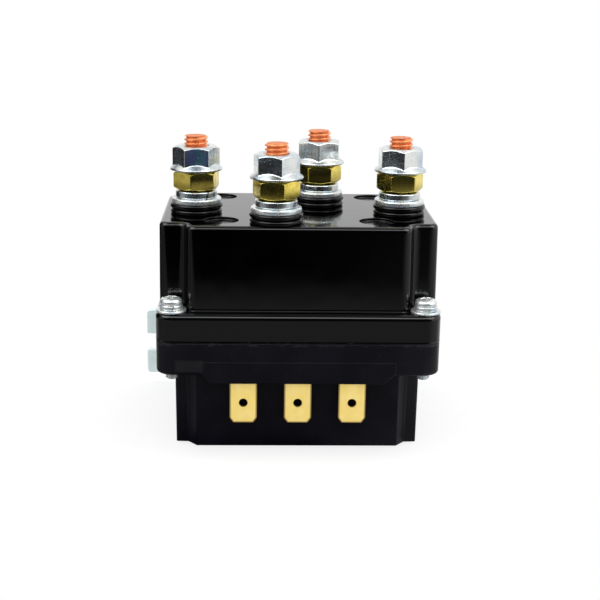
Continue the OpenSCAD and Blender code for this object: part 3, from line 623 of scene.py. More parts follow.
def cover_plastic(c):
    """Glossy black plastic: faint sink waves, drag marks on the walls, a little dust, trimmed flecks at
    the joint and duller floors in the roof's recesses."""
    p = Finish("cover_plastic", IOR=1.5)
    x, y, z = p.axes()
    waves = p.noise(70, 2.0)
    drag = p.noise(900, 2.0, stretch=(1, 1, 0.03))
    dust = p.specks(420, 0.16)
    cloud = p.noise(160, 3.0)
    flecks = joint_marks(p, z, JOINT_Z, 1100, (0.58, 0.68))
    base = p.mix(p.ramp(cloud, 0.35, 0.7), c.cover_black, times(c.cover_black, 1.9))
    p.colour(p.mix(flecks * 0.8, base, (0.05, 0.05, 0.052)))
    inside = p.band(x, 0, 0.0308, 0.0312) * p.band(y, 0, 0.0204, 0.0208)
    pit = p.band(z, COVER_HIGH[2] - 0.0007, 0.0002, 0.00035) * inside
    p.rough(0.055 + 0.05 * p.ramp(cloud, 0.4, 0.75) + 0.05 * dust + 0.16 * pit)
    p.bump(waves * 0.6 + drag * 0.02 + dust * 0.01 + joint_burr(p, z) * 1.8, 0.12)
    return p.material


def housing_plastic(c):
    """Satin blue-black plastic with a fine grain, painted sheen on a lighter, rougher patch left of the
    apron, and a rough joint line."""
    p = Finish("housing_plastic", IOR=1.48, Specular_IOR_Level=0.25)
    x, y, z = p.axes()
    grain = p.noise(5200, 3.0, 0.6)
    cloud = p.noise(130, 4.0, 0.6)
    drag = p.noise(700, 2.0, stretch=(1, 1, 0.05))
    # Painted sheen: a patch of the flange's front left of the apron, standing in for a reflection, where the
    # gloss is also rougher
    sheen_patch = p.band(x, -0.02515, 0.0029, 0.0036) * p.band(z, 0.0211, 0.0011, 0.0016)
    sheen_patch = sheen_patch * p.ramp(y, -0.0243, -0.0247)
    marks = p.ramp(p.noise(420, 5.0, 0.7), 0.60, 0.70) * 0.5
    specks = p.specks(330, 0.11)
    flecks = joint_marks(p, z, JOINT_Z - 0.0004, 900, (0.50, 0.62))
    cloudy = p.ramp(cloud, 0.35, 0.7) * 0.6 + marks * 0.3
    base = p.mix(cloudy, c.housing_black, times(c.housing_black, 2.1))
    # The painted sheen lightens the colour on that patch
    base = p.mix(sheen_patch * 0.5, base, (0.0125, 0.0125, 0.0145))
    p.colour(p.mix(specks * 0.2 + flecks * 0.5, base, (0.03, 0.03, 0.033)))
    p.rough(0.30 + 0.10 * p.ramp(cloud, 0.35, 0.75) + 0.08 * sheen_patch - 0.05 * marks)
    p.bump(grain * 0.05 + cloud * 0.9 + drag * 0.04 + joint_burr(p, z) * 2.2, 0.1)
    return p.material


def seal_rubber(c):
    """Black rubber with a soft shine and a cloudy bloom."""
    p = Finish("seal_rubber", IOR=1.5, Specular_IOR_Level=0.32)
    cloud = p.noise(500, 4.0, 0.6)
    p.colour(p.mix(p.ramp(cloud, 0.35, 0.7), c.rubber, times(c.rubber, 2.4)))
    p.rough(0.10 + 0.10 * p.ramp(cloud, 0.3, 0.8))
    p.bump(p.noise(2600, 3.0) * 0.15 + cloud, 0.04)
    return p.material


def blued_face(p):
    """1 on the front face of the left stud's flange nut: a slab at the face's distance from the axis, along
    x cos(a) + y sin(a) with a the face's direction, and above the nut's flange. The second value is 1 and
    falls to 0 at the nut's top."""
    x, y, z = p.axes()
    left = stud_places()["left"]
    direction = math.radians(FLANGE_NUT_TURNS[0]) - SIXTH
    face = (x - left[0] * MM) * math.cos(direction) + (y - left[1] * MM) * math.sin(direction)
    slab = p.ramp(face, 0.00481, 0.00485) * p.ramp(face, 0.0051, 0.0049)
    return slab * p.ramp(z, 0.0650, 0.0654), p.ramp(z, 0.0692, 0.0686)


def zinc_plate(name, c, streak, rough, metallic=1.0):
    """Bright zinc: bluish and pale zones, fine speckle and streaks, stretched along each axis as streak
    says. On the nuts one face is tinged with blue."""
    p = Finish(name, Metallic=metallic)
    zones = p.noise(210, 4.0, 0.6)
    speckle = p.noise(3000, 4.0, 0.7)
    streaks = p.noise(1900, 3.0, 0.6, stretch=streak)
    pits = p.specks(1500, 0.2)
    tint = p.mix(p.ramp(zones, 0.42, 0.66), c.zinc, c.zinc_blue)
    if name == "zinc":
        tinge, below_top = blued_face(p)
        bluish = p.mix(p.ramp(p.noise(420, 3.0), 0.42, 0.62), (0.32, 0.40, 0.90), (0.22, 0.52, 0.70))
        tint = p.mix(tinge * below_top, tint, bluish)
        p.feed(p.shader.inputs["Metallic"], 1 - 0.06 * tinge)
    tint = p.mix(p.ramp(p.noise(330, 3.0), 0.56, 0.70) * 0.3, tint, (0.70, 0.68, 0.55))
    p.colour(p.mix(p.ramp(speckle, 0.54, 0.76) * 0.3 + pits * 0.2, tint, (0.36, 0.39, 0.40)))
    p.rough(rough + 0.12 * p.ramp(zones, 0.35, 0.7) + 0.10 * p.ramp(speckle, 0.45, 0.75))
    p.bump(streaks * 0.7 + speckle * 0.25 + zones * 0.8 - pits * 0.5, 0.035)
    return p.material


def zinc(c):
    """Bright zinc of nuts, washers and screws."""
    return zinc_plate("zinc", c, (1, 1, 0.06), 0.16)


def washer_zinc(c):
    """Paler zinc of the studs' flat washers."""
    return zinc_plate("washer_zinc", c, (1, 1, 1), 0.20, 0.8)


def screw_zinc(c):
    """Pale, softer zinc of the case screws and their washers."""
    return zinc_plate("screw_zinc", c, (1, 1, 1), 0.20, 0.78)


def spring_steel(c):
    """Zinc on spring wire and clips."""
    return zinc_plate("spring_steel", c, (1, 1, 1), 0.24)


def bracket_zinc(c):
    """Satin zinc sheet: a faint spangle, rolling marks along X and small stains, with painted shade that
    makes the front faces of the ears greyer."""
    p = Finish("bracket_zinc", Metallic=0.1)
    cells = p.node("ShaderNodeTexVoronoi", output="Color", Vector=p.place(), Scale=260)
    shade = p.node("ShaderNodeSeparateColor", Color=cells)
    roll = p.noise(1500, 3.0, stretch=(0.04, 1, 1))
    stain = p.noise(190, 4.0, 0.65)
    dark = times(c.sheet, 0.78)
    tint = p.mix(shade * 0.28 + p.ramp(roll, 0.4, 0.7) * 0.18, c.sheet, dark)
    x, y, z = p.axes()
    # Painted shade: the ears' front faces are mixed towards a darker grey
    ears = p.ramp(abs(x), 0.0326, 0.0331) * p.ramp(z, 0.0300, 0.0295)
    front = ears * p.ramp(y, 0.0263, 0.0259)
    tint = p.mix(front, p.mix(0.62, tint, (0.20, 0.23, 0.23)), tint)
    p.colour(p.mix(p.ramp(stain, 0.58, 0.75) * 0.5, tint, (0.50, 0.53, 0.50)))
    p.rough(0.38 + 0.10 * shade + 0.10 * p.ramp(stain, 0.4, 0.7))
    p.bump(roll * 0.5 + shade * 0.1 + p.noise(2400, 3.0) * 0.25, 0.02)
    return p.material


def yellow_zinc(c):
    """Yellow passivated zinc: gold and olive zones, orange and green patches and fine dark speckle."""
    p = Finish("yellow_zinc", Metallic=1.0)
    zones = p.noise(260, 4.0, 0.6)
    speckle = p.noise(2800, 4.0, 0.7)
    streaks = p.noise(1700, 3.0, stretch=(1, 1, 0.08))
    tint = p.mix(p.ramp(zones, 0.38, 0.66), c.yellow, c.yellow_dark)
    tint = p.mix(p.ramp(p.noise(420, 3.0), 0.58, 0.70) * 0.35, tint, (0.66, 0.40, 0.12))
    tint = p.mix(p.ramp(p.noise(390, 2.0, stretch=(1, 1, 2)), 0.62, 0.74) * 0.2, tint, (0.40, 0.52, 0.16))
    p.colour(p.mix(p.ramp(speckle, 0.54, 0.70) * 0.5, tint, (0.22, 0.15, 0.02)))
    p.rough(0.12 + 0.10 * p.ramp(zones, 0.35, 0.7) + 0.12 * p.ramp(speckle, 0.45, 0.75))
    p.bump(streaks * 0.6 + speckle * 0.3 + zones * 0.7, 0.035)
    return p.material


def copper_metal(name, c, base_rough):
    """Copper: pale worn zones, brown tarnish spots, turning marks round the axis, painted shade in the
    thread's roots near the studs' axes and duller cut ends."""
    p = Finish(name, Metallic=0.62)
    zones = p.noise(420, 4.0, 0.6)
    turning = p.noise(2600, 3.0, stretch=(0.15, 0.15, 1))
    spots = p.ramp(p.noise(900, 4.0, 0.7), 0.60, 0.74)
    tint = p.mix(p.ramp(zones, 0.45, 0.75) * 0.35, c.copper, (0.98, 0.48, 0.25))
    tint = p.mix(spots * 0.35, tint, (0.50, 0.13, 0.05))
    x, y, z = p.axes()
    near = 1.0
    for a, b in stud_places().values():
        near = ((x - a * MM) ** 2.0 + (y - b * MM) ** 2.0).math("MINIMUM", near)
    # Painted shade: closer to a stud's axis than the crests, in the thread's roots
    groove = p.ramp(near ** 0.5, 0.00268, 0.00235)
    end = p.ramp(z, STUD_HIGH[2] - 0.00015, STUD_HIGH[2] - 0.00008)
    # The painted shade turns the roots dark red, but not at the stud's end
    tint = p.mix(groove * (1 - end) * 0.5, tint, (0.60, 0.10, 0.02))
    p.colour(p.mix(end * 0.6, tint, (0.42, 0.13, 0.055)))
    p.rough(base_rough + 0.14 * p.ramp(zones, 0.3, 0.7) + 0.10 * spots + 0.25 * end)
    p.bump(turning * 0.5 + zones * 0.5, 0.02)
    return p.material


def stud_copper(c):
    """Bright copper of the threaded studs."""
    return copper_metal("stud_copper", c, 0.24)


def contact_copper(c):
    """Plain copper of contacts and buses."""
    return copper_metal("contact_copper", c, 0.30)


def tab_brass(c):
    """Rolled brass: pale satin face, fine rolling lines along Z, faint spots and painted shade on the cut
    edges.
    """
    p = Finish("tab_brass", Metallic=0.12)
    y = p.axes()[1]
    roll = p.noise(2600, 3.0, stretch=(1, 1, 0.03))
    cloud = p.noise(260, 4.0, 0.6)
    spots = p.ramp(p.noise(1300, 3.0, 0.7), 0.64, 0.76)
    tint = p.mix(p.ramp(cloud, 0.4, 0.7) * 0.5, c.brass, (0.95, 0.76, 0.32))
    tint = p.mix(spots * 0.3, tint, (0.66, 0.44, 0.12))
    # Painted shade: the blade's cut edges, halfway through its thickness, are coloured dark brown
    edge = p.band(y, -0.0230, 0.00030, 0.00038)
    p.colour(p.mix(edge * 0.8, tint, (0.20, 0.11, 0.03)))
    p.rough(0.34 + 0.10 * p.ramp(cloud, 0.35, 0.7) + 0.06 * p.ramp(roll, 0.4, 0.7))
    p.bump(roll * 0.5 + cloud * 0.4, 0.015)
    return p.material


def silver(c):
    """Silver rivets with a faint tarnish."""
    p = Finish("silver", Metallic=1.0)
    cloud = p.noise(700, 4.0, 0.6)
    p.colour(p.mix(p.ramp(cloud, 0.5, 0.8) * 0.6, c.silver, (0.62, 0.56, 0.42)))
    p.rough(0.22 + 0.16 * p.ramp(cloud, 0.3, 0.7))
    p.bump(cloud, 0.02)
    return p.material


def yoke_iron(c):
    """Plated soft iron: rolled grain and dull spots."""
    p = Finish("yoke_iron", Metallic=1.0)
    cloud = p.noise(240, 4.0, 0.6)
    roll = p.noise(1800, 3.0, stretch=(1, 1, 0.05))
    p.colour(p.mix(p.ramp(cloud, 0.45, 0.75), c.iron, times(c.iron, 0.7)))
    p.rough(0.34 + 0.16 * p.ramp(cloud, 0.3, 0.7))
    p.bump(roll * 0.5 + cloud * 0.5, 0.03)
    return p.material


def nylon(c):
    """Natural nylon, milky and slightly uneven."""
    p = Finish("nylon", IOR=1.53)
    cloud = p.noise(200, 3.0)
    p.colour(p.mix(p.ramp(cloud, 0.35, 0.7), c.nylon, times(c.nylon, 0.88)))
    p.rough(0.36 + 0.12 * p.ramp(cloud, 0.3, 0.7))
    p.bump(p.noise(1800, 2.0), 0.02)
    return p.material


def enamel_wire(c):
    """Turns of enamelled wire: round ridges along Z every 0.35 mm, with painted shade between the turns."""
    p = Finish("enamel_wire", Metallic=0.6, Coat_Weight=0.6, Coat_Roughness=0.1)
    ridge = (p.axes()[2] * (math.tau / 0.00035)).math("SINE")
    # Painted shade: the colour darkens to a quarter between the turns
    p.colour(p.mix(p.ramp(ridge, -0.9, 0.2), times(c.enamel, 0.25), c.enamel))
    p.rough(0.28 + 0.14 * p.noise(600, 3.0))
    p.bump(ridge * 0.5 + p.noise(900, 2.0) * 0.4, 0.06)
    return p.material


def laminate(c):
    """Brown laminate with a woven fibre pattern of two crossed waves."""
    p = Finish("laminate", IOR=1.5)
    x, y = p.axes()[:2]
    weave = (x * (math.tau / 0.0008)).math("SINE") * (y * (math.tau / 0.0008)).math("SINE")
    cloud = p.noise(150, 4.0, 0.6)
    fibres = p.ramp(weave, -0.6, 0.6) * 0.5 + p.ramp(cloud, 0.4, 0.7) * 0.3
    p.colour(p.mix(fibres, c.laminate, times(c.laminate, 0.6)))
    p.rough(0.35 + 0.12 * p.ramp(cloud, 0.3, 0.7))
    p.bump(weave, 0.015)
    return p.material


FINISH_MAKERS = {
    "cover_plastic": cover_plastic, "housing_plastic": housing_plastic, "seal_rubber": seal_rubber,
    "zinc": zinc, "bracket_zinc": bracket_zinc, "yellow_zinc": yellow_zinc, "stud_copper": stud_copper,
    "contact_copper": contact_copper, "tab_brass": tab_brass, "silver": silver, "yoke_iron": yoke_iron,
    "nylon": nylon, "enamel_wire": enamel_wire, "laminate": laminate, "spring_steel": spring_steel,
    "washer_zinc": washer_zinc, "screw_zinc": screw_zinc,
}


# Case

def stud_places():
    """The studs' axes in millimetres, by name, from the middle of their boxes."""
    places = {}
    for side in STUDS:
        low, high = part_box("stud_" + side)
        places[side] = ((low[0] + high[0]) / 2 / MM, (low[1] + high[1]) / 2 / MM)
    return places


def cover_outline(s, inset):
    """The cover's outline at an inset from its top."""
    radii = (s.cover_r_face, s.cover_r_hollow, s.cover_r_out, s.cover_r_rear)
    return notched(s.cover_x, s.cover_y, s.cover_face_x, s.cover_slant, s.cover_notch_y, radii, inset)


def box_outline(s, inset):
    """The lower box's outline at an inset from its upper edge."""
    radii = (s.box_r_face, s.box_r_face, s.box_r_out)
    return notched(s.box_x, s.box_y, s.box_face_x, s.box_slant, s.box_notch_y, radii, inset,
                   splay=s.box_splay)


def flared(s, inset, flare):
    """The cover's outline pushed outwards by the flare, in full at its front and back faces and by 0.15 of
    it past their corners."""
    base = cover_outline(s, inset)
    share = 1 - 0.85 * ramp(abs(base[:, :1]), s.cover_face_x - 2.4, s.cover_face_x - 0.2)
    return base + (cover_outline(s, inset - flare) - base) * share


def screw_places(f):
    """The case screws' axes."""
    return [(side * f.screw_x, end * f.screw_y) for side in (-1, 1) for end in (-1, 1)]


def flange_rows(z_joint, z_edge, r_joint, r_edge, back):
    """Heights and insets up the side of a flange: both edges quarter rounds, the wall set back a little."""
    way = math.copysign(1, z_edge - z_joint)
    rows = [(z_joint, r_joint + back + 0.1)]
    rows += [(z_joint + way * along, across + back) for across, along in quarter(r_joint, 4)[::-1]]
    rows += [(z_joint + way * (r_joint + 0.1), back)]
    rows += [(z_edge - way * (r_edge + 0.1), back)]
    rows += [(z_edge - way * along, across + back) for across, along in quarter(r_edge, 8)]
    rows += [(z_edge, r_edge + back + 0.1)]
    return rows


def flange(skin, s, rows, inner, holes, hole_r):
    """A flange ring: its outside, the flange's rectangle at each row's inset, both flat faces with screw
    holes, and the wall inside."""
    bevel, count = 0.15, 40
    half_x = s.flange_w / 2
    half_y = s.flange_d / 2
    outer = [at_height(rectangle(half_x - i, half_y - i, s.flange_r - i), z) for z, i in rows]
    skin.grid(outer)
    for loop in (outer[0], outer[-1]):
        z = loop[0, 2]
        mouths = [at_height(ring(hole_r + bevel, count, centre), z) for centre in holes]
        skin.region([loop, at_height(inner, z)] + mouths)
    low, high = sorted((rows[0][0], rows[-1][0]))
    skin.grid([at_height(inner, low), at_height(inner, high)])
    bore = [(hole_r + bevel, low), (hole_r, low + bevel), (hole_r, high - bevel), (hole_r + bevel, high)]
    for centre in holes:
        skin.lathe(bore, count, centre)


class RELAY_OT_upper_cover(bpy.types.Operator):
    """Moulded cover: drafted walls with notched corners, roof with recesses, flange and stud towers"""
    bl_idname = "relay.upper_cover"
    bl_label = "Upper cover"

    def execute(self, context):
        s = in_mm(context.scene.relay_case)
        f = in_mm(context.scene.relay_fixings)
        skin = Skin()
        loops = self.walls(skin, s)
        self.roof(skin, s, loops[-1])
        skin.region([loops[0]])
        for centre in stud_places().values():
            self.tower(skin, s, centre)
        rows = flange_rows(s.parting_z, s.flange_top, s.joint_edge, s.flange_edge, s.cover_back)
        flange(skin, s, rows, cover_outline(s, 0.8), screw_places(f), f.screw_r + 0.2)
        piece = skin.piece("cover_shell", "case", finish("cover_plastic"), "cover_plastic")
        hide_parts("upper_cover")
        return {"FINISHED"}

    def walls(self, skin, s):
        """Loops from the roof's inner corner down the inside, round the foot with its seal groove and up
        the drafted outside to the roof. Each row is a height, an inset and a flare: a fillet of quarter
        round above the flange, and one of quarter round along the roof's edge."""
        lean = math.tan(s.draft)
        top = s.cover_top
        foot = (s.flange_top - top) * lean
        r = s.foot_fillet
        e = s.cover_edge
        rows = [(s.roof_z, s.wall + 0.1, 0), (s.roof_z, s.wall, 0), (s.roof_z - 0.1, s.wall, 0)]
        rows += [(s.parting_z, s.wall, 0), (s.parting_z, s.groove_in, 0)]
        rows += [(s.parting_z + s.groove_t, s.groove_in, 0), (s.parting_z + s.groove_t, s.groove_out, 0)]
        rows += [(s.parting_z, s.groove_out, 0), (s.parting_z, foot, 0)]
        rows += [(s.flange_top - 0.6, foot, r), (s.flange_top - 0.06, foot, r + 0.12)]
        rows += [(s.flange_top + along, foot, across) for across, along in quarter(r, 6)[::-1]]
        rows += [(s.flange_top + r + 0.15, foot + lean * (r + 0.15), 0)]
        rows += [(top - e - 0.15, -lean * (e + 0.15), 0)]
        rows += [(top - along, across - lean * along, 0) for across, along in quarter(e, 8)]
        rows += [(top, e + 0.1, 0)]
        loops = [at_height(flared(s, inset, flare), z) for z, inset, flare in rows]
        skin.grid(loops)
        return loops

    def roof(self, skin, s, edge):
        """The flat roof inside its edge, the mouths of the stud holes and the shallow recesses. A recess
        has a rim of quarter round, a quarter round to its floor and a slightly raised middle."""
        top = s.cover_top
        mouth, border = 4.6, s.recess_r + 0.4
        recesses = [(side * s.recess_x, -s.recess_y) for side in (1, -1)]
        recesses += [(side * s.recess_rear_x, s.recess_rear_y) for side in (1, -1)]
        holes = [at_height(ring(mouth, 48, centre), top) for centre in stud_places().values()]
        holes += [at_height(ring(border, 64, centre), top) for centre in recesses]
        skin.region([edge] + holes)
        hole = [(mouth, top), (mouth - 0.1, top), (s.stud_hole_r, top - 0.1)]
        hole += [(s.stud_hole_r, s.roof_z + 0.06), (0, s.roof_z + 0.06)]
        for centre in stud_places().values():
            skin.lathe(hole, 48, centre)
        rim, fall, floor = 0.12, 0.16, top - s.recess_t
        r = s.recess_r
        recess = [(border, top)]
        recess += [(r + along, top - across) for across, along in quarter(rim, 6)]
        recess += [(r - across, floor + along) for across, along in quarter(fall, 6)]
        recess += [(r - fall - 0.1, floor), (1.2, floor + 0.02), (0.7, floor + 0.02), (0, floor + 0.02)]
        for centre in recesses:
            skin.lathe(recess, 64, centre)

    def tower(self, skin, s, centre):
        """Turned tower under the roof, cut flat 1 mm inside the cover's front and back."""
        bore, low, high = 3.2, s.tower_z, s.roof_z + 0.03
        profile = np.array([(bore, low), (s.tower_r - 0.1, low), (s.tower_r, low + 0.1), (s.tower_r, high),
                            (bore, high)])
        shape = about(centre, profile[:, :1], turns(64), profile[:, 1:])
        shape[..., 1] = np.clip(shape[..., 1], 1 - s.cover_y, s.cover_y - 1)
        skin.grid(shape, wrap_rows=True)


class RELAY_OT_lower_housing(bpy.types.Operator):
    """Moulded housing: box with cut-back corners, flange, and apron with the tabs' slots"""
    bl_idname = "relay.lower_housing"
    bl_label = "Lower housing"

    def execute(self, context):
        s = in_mm(context.scene.relay_case)
        f = in_mm(context.scene.relay_fixings)
        skin = Skin()
        self.walls(skin, s)
        self.ribs(skin, s)
        rows = flange_rows(s.parting_z, s.flange_z, s.joint_edge, s.flange_foot, s.housing_back)
        flange(skin, s, rows, box_outline(s, 0.8), screw_places(f), f.screw_r + 0.02)
        self.apron(skin, s, f)
        piece = skin.piece("housing_shell", "case", finish("housing_plastic"), "housing_plastic")
        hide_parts("lower_housing")
        return {"FINISHED"}

    def walls(self, skin, s):
        """Loops from the middle of the base up the drafted outside and down the inside to the floor. Each
        row is a height and an inset: quarter rounds along the base and under the flange, in which the
        outside steps out and back again."""
        lean = math.tan(s.draft)
        foot = s.flange_z * lean
        e = s.box_edge
        fillet = 0.4
        rows = [(0, foot + e + 0.1)]
        rows += [(along, foot + across) for across, along in quarter(e, 6)[::-1]]
        rows += [(e + 0.15, foot - lean * (e + 0.15))]
        rows += [(s.flange_z - 0.55, lean * 0.55)]
        rows += [(s.flange_z - along, -across) for across, along in quarter(fillet, 5)]
        rows += [(s.flange_z + 0.05, -fillet - 0.1), (s.flange_z + 0.4, -fillet), (s.flange_z + 0.6, 0)]
        rows += [(s.parting_z, 0), (s.parting_z, s.wall), (s.floor + 0.1, s.wall), (s.floor, s.wall)]
        rows += [(s.floor, s.wall + 0.1)]
        loops = [at_height(box_outline(s, inset), z) for z, inset in rows]
        skin.grid(loops)
        skin.region([loops[0]])
        skin.region([loops[-1]])

    def ribs(self, skin, s):
        """Low ribs from wall to wall across the floor, fore and aft of the yokes: rectangles with a bevel
        round their tops."""
        half_x = s.box_x - s.wall + 0.2
        half_y, high, bevel = 0.7, 1.4, 0.1
        for y in (-13.3, 4.3):
            side = rectangle(half_x, half_y, 0.15, 3, 0.03) + (0, y)
            top = rectangle(half_x - bevel, half_y - bevel, 0.1, 3, 0.03) + (0, y)
            loops = [at_height(side, s.floor - 0.5), at_height(side, s.floor + high - bevel)]
            loops.append(at_height(top, s.floor + high))
            skin.grid(loops)
            skin.region([loops[0]])
            skin.region([loops[-1]])

    def apron(self, skin, s, f):
        """Block over the tabs: rounded rectangles stacked upwards, wider by the height risen up to the
        flange and of one width from there, with the lower edge a quarter round."""
        front = s.flange_d / 2
        back = s.box_y - 0.8
        widest = s.flange_z + s.flange_foot - s.apron_z
        full = s.apron_top - s.apron_z
        rise = [(0, 0.33)] + [(along, across) for across, along in quarter(0.26, 5)[::-1]]
        rise += [(0.33, 0), (widest - 0.1, 0), (widest, 0), (widest + 0.1, 0)]
        rise += [(full - 0.12, 0), (full, 0.12)]
        loops = []
        for up, inset in rise:
            half = s.apron_half + min(up, widest) - inset
            y = front - inset
            corners = [(-half, -y), (half, -y), (half, -back), (-half, -back)]
            loops.append(at_height(rounded(corners, (0.3, 0.3, 0.1, 0.1), 6), s.apron_z + up))
        skin.grid(loops)
        skin.region([loops[-1]])
        mouths = [self.slot(skin, s, f, i * f.tab_pitch) for i in (-1, 0, 1)]
        skin.region([loops[0]] + mouths)

    def slot(self, skin, s, f, x):
        """Blind slot round a tab with a bevelled mouth. Returns the mouth's loop."""
        gap, bevel, depth = 0.14, 0.12, 1.3
        middle = (x, f.tab_t / 2 - f.tab_face)
        half_x = f.tab_w / 2 + gap
        half_y = f.tab_t / 2 + gap
        slot = rectangle(half_x, half_y, 0.12, 3, 0.03) + middle
        mouth = at_height(rectangle(half_x + bevel, half_y + bevel, 0.2, 3, 0.03) + middle, s.apron_z)
        end = at_height(slot, s.apron_z + depth)
        skin.grid([mouth, at_height(slot, s.apron_z + bevel), end])
        skin.region([end])
        return mouth


# Folded sheet

def split_rows(outline, rows):
    """The closed outline with a point added wherever one of its sides crosses a row."""
    after = np.roll(outline, -1, 0)
    span = after[:, 1:] - outline[:, 1:]
    share = (np.asarray(rows)[None] - outline[:, 1:]) / np.where(abs(span) < 1e-9, 1e9, span)
    side, row = np.nonzero((share > 1e-6) & (share < 1 - 1e-6))
    at = share[side, row]
    new = outline[side] + (after[side] - outline[side]) * at[:, None]
    order = np.argsort(np.concatenate([np.arange(len(outline)), side + at]), kind="stable")
    return np.concatenate([outline, new])[order]


def folded_sheet(skin, outline, holes, edge, thick, bend_r, fold_z, plane, way, strips):
    """Sheet cut to a flat pattern and bent once. The outline gives the pattern's loop for an inset, in
    x and the length s up the sheet. Each hole is a centre, a radius and how much of the inset its rim
    follows, and edge holds the pairs of inset and depth round the sheet's rim. Up to fold_z the sheet
    stands upright, its inner side in the plane y. Then it turns about a line bend_r inside that, through
    a quarter circle, and runs back level. way is the side its outer face is on, and strips is how many
    strips of the pattern cross the fold: one, or one at each side of the middle."""
    turn = RIGHT_ANGLE * (bend_r + thick / 2)
    bend = np.linspace(fold_z, fold_z + turn, 9)
    touch = 1e-6

    def fold(points, depth):
        """The pattern's points in place: reach * cos(t) beside the bend's line and reach * sin(t) above."""
        x, along = points[:, 0], points[:, 1]
        t = np.clip((along - fold_z) / turn, 0, 1) * RIGHT_ANGLE
        reach = bend_r + depth
        past = np.maximum(along - fold_z - turn, 0)
        y = plane + way * (reach * np.cos(t) - bend_r - past)
        z = np.minimum(along, fold_z) + reach * np.sin(t)
        return np.stack([x, y, z], 1)

    def split(points):
        """The points of each strip."""
        return [points] if strips == 1 else [points[points[:, 0] < 0], points[points[:, 0] > 0]]

    loops = [split_rows(outline(inset), bend) for inset, depth in edge]
    skin.grid([fold(loop, depth) for loop, (inset, depth) in zip(loops, edge)])
    for loop, (inset, depth) in ((loops[0], edge[0]), (loops[-1], edge[-1])):
        upright = loop[loop[:, 1] <= fold_z + touch]
        level = loop[loop[:, 1] >= bend[-1] - touch]
        bent_part = loop[(loop[:, 1] >= fold_z - touch) & (loop[:, 1] <= bend[-1] + touch)]
        for part in [upright] + split(level):
            inside = [hole for hole in holes if within(part, hole)]
            rims = [fold(ring(hole[2] + inset * hole[3], 40, hole[:2]), depth) for hole in inside]
            skin.region([fold(part, depth)] + rims)
        for part in split(bent_part):
            centre = part[:, 0].mean()
            sides = [part[part[:, 0] < centre], part[part[:, 0] > centre]]
            sides = [side[np.argsort(side[:, 1])] for side in sides]
            skin.grid([fold(side, depth) for side in sides], wrap_columns=False)
    for hole in holes:
        skin.grid([fold(ring(hole[2] + inset * hole[3], 40, hole[:2]), depth) for inset, depth in edge])


def within(part, hole):
    """Whether the hole's centre lies in the box of the part."""
    low, high = part.min(0), part.max(0)
    return low[0] < hole[0] < high[0] and low[1] < hole[1] < high[1]


class RELAY_OT_bracket(bpy.types.Operator):
    """Zinc sheet bracket: a back plate with two slotted ears and two lugs folded over the flange"""
    bl_idname = "relay.bracket"
    bl_label = "Mounting bracket"

    def execute(self, context):
        """The pattern's right half runs from the ear's lower corner round its slot and up to the lug, and
        the left half is its mirror. The rim's pairs of inset and depth round its edges a little."""
        s = in_mm(context.scene.relay_case)
        f = in_mm(context.scene.relay_fixings)
        skin = Skin()
        t = f.sheet_t
        plane = s.flange_d / 2
        fold_z = s.flange_top - f.sheet_bend
        flat = fold_z + RIGHT_ANGLE * (f.sheet_bend + t / 2) + plane - f.sheet_bend
        end = flat - f.lug_front
        low = f.ear_z
        high = f.ear_z + f.ear_h
        slot = (low + high) / 2
        gap = f.slot_w / 2
        deep = f.slot_x - gap
        right = [(f.ear_x, low), (f.ear_x, slot - gap), (deep, slot - gap), (deep, slot + gap),
                 (f.ear_x, slot + gap), (f.ear_x, high), (f.lug_out, high), (f.lug_out, end),
                 (f.lug_in, end), (f.lug_in, high)]
        radii = [1, 0.35, gap - 0.06, gap - 0.06, 0.35, 1, 0.8, 0.7, 0.7, 0.8]
        left = [(-x, z) for x, z in right[::-1]]

        def outline(inset):
            """The pattern's loop at an inset."""
            return shrunk(right + left, radii + radii[::-1], inset, 8, 0.02)

        edge = [(0.3, 0), (0.2, 0.005), (0.09, 0.06), (0.02, 0.16), (0, 0.3), (0, t - 0.18), (0.03, t - 0.07),
                (0.1, t - 0.01), (0.2, t), (0.3, t)]
        holes = [(side * f.screw_x, flat - f.screw_y, f.screw_r + 0.2, 0.6) for side in (-1, 1)]
        folded_sheet(skin, outline, holes, edge, t, f.sheet_bend, fold_z, plane, 1, strips=2)
        piece = skin.piece("bracket_sheet", "case", finish("bracket_zinc"), "bracket_zinc")
        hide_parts("mounting_bracket")
        return {"FINISHED"}


class RELAY_OT_spade_tabs(bpy.types.Operator):
    """Brass spade tabs: bevelled blades with a hole near the tip and a leg folded back in the joint"""
    bl_idname = "relay.spade_tabs"
    bl_label = "Spade tabs"

    def execute(self, context):
        """The pattern is a rectangle with a tapered tip. The rim's pairs of inset and depth make the coined
        border on the front, and the same on the back."""
        s = in_mm(context.scene.relay_case)
        f = in_mm(context.scene.relay_fixings)
        t = f.tab_t
        half = f.tab_w / 2
        tip = f.tab_tip
        plane = t - f.tab_face
        fold_z = s.parting_z - 0.05 - t - f.tab_bend
        end = fold_z + RIGHT_ANGLE * (f.tab_bend + t / 2) + abs(plane) - f.tab_bend - f.tab_leg
        b = f.tab_bevel
        edge = [(b + 0.04, 0), (b, 0.004), (b - 0.05, 0.015), (0.09, 0.12), (0.02, 0.17), (0, 0.24)]
        edge = edge + [(inset, t - depth) for inset, depth in edge[::-1]]
        narrow, taper = half - 0.85, tip + 1.2
        corners = [(-narrow, tip), (narrow, tip), (half, taper), (half, end), (-half, end), (-half, taper)]
        for i, side in ((-1, "left"), (0, "centre"), (1, "right")):
            x = i * f.tab_pitch

            def outline(inset):
                """The pattern's loop at an inset."""
                return shrunk(corners, (0.35, 0.35, 0.6, 0.3, 0.3, 0.6), inset, 5, 0.02) + (x, 0)

            skin = Skin()
            holes = [(x, f.tab_hole_z, f.tab_hole, 0.25)]
            folded_sheet(skin, outline, holes, edge, t, f.tab_bend, fold_z, plane, -1, strips=1)
            piece = skin.piece("tab_blade_" + side, "case", finish("tab_brass"), "tab_brass", 50)
            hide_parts("spade_tab_" + side)
        return {"FINISHED"}


# Turned and threaded parts

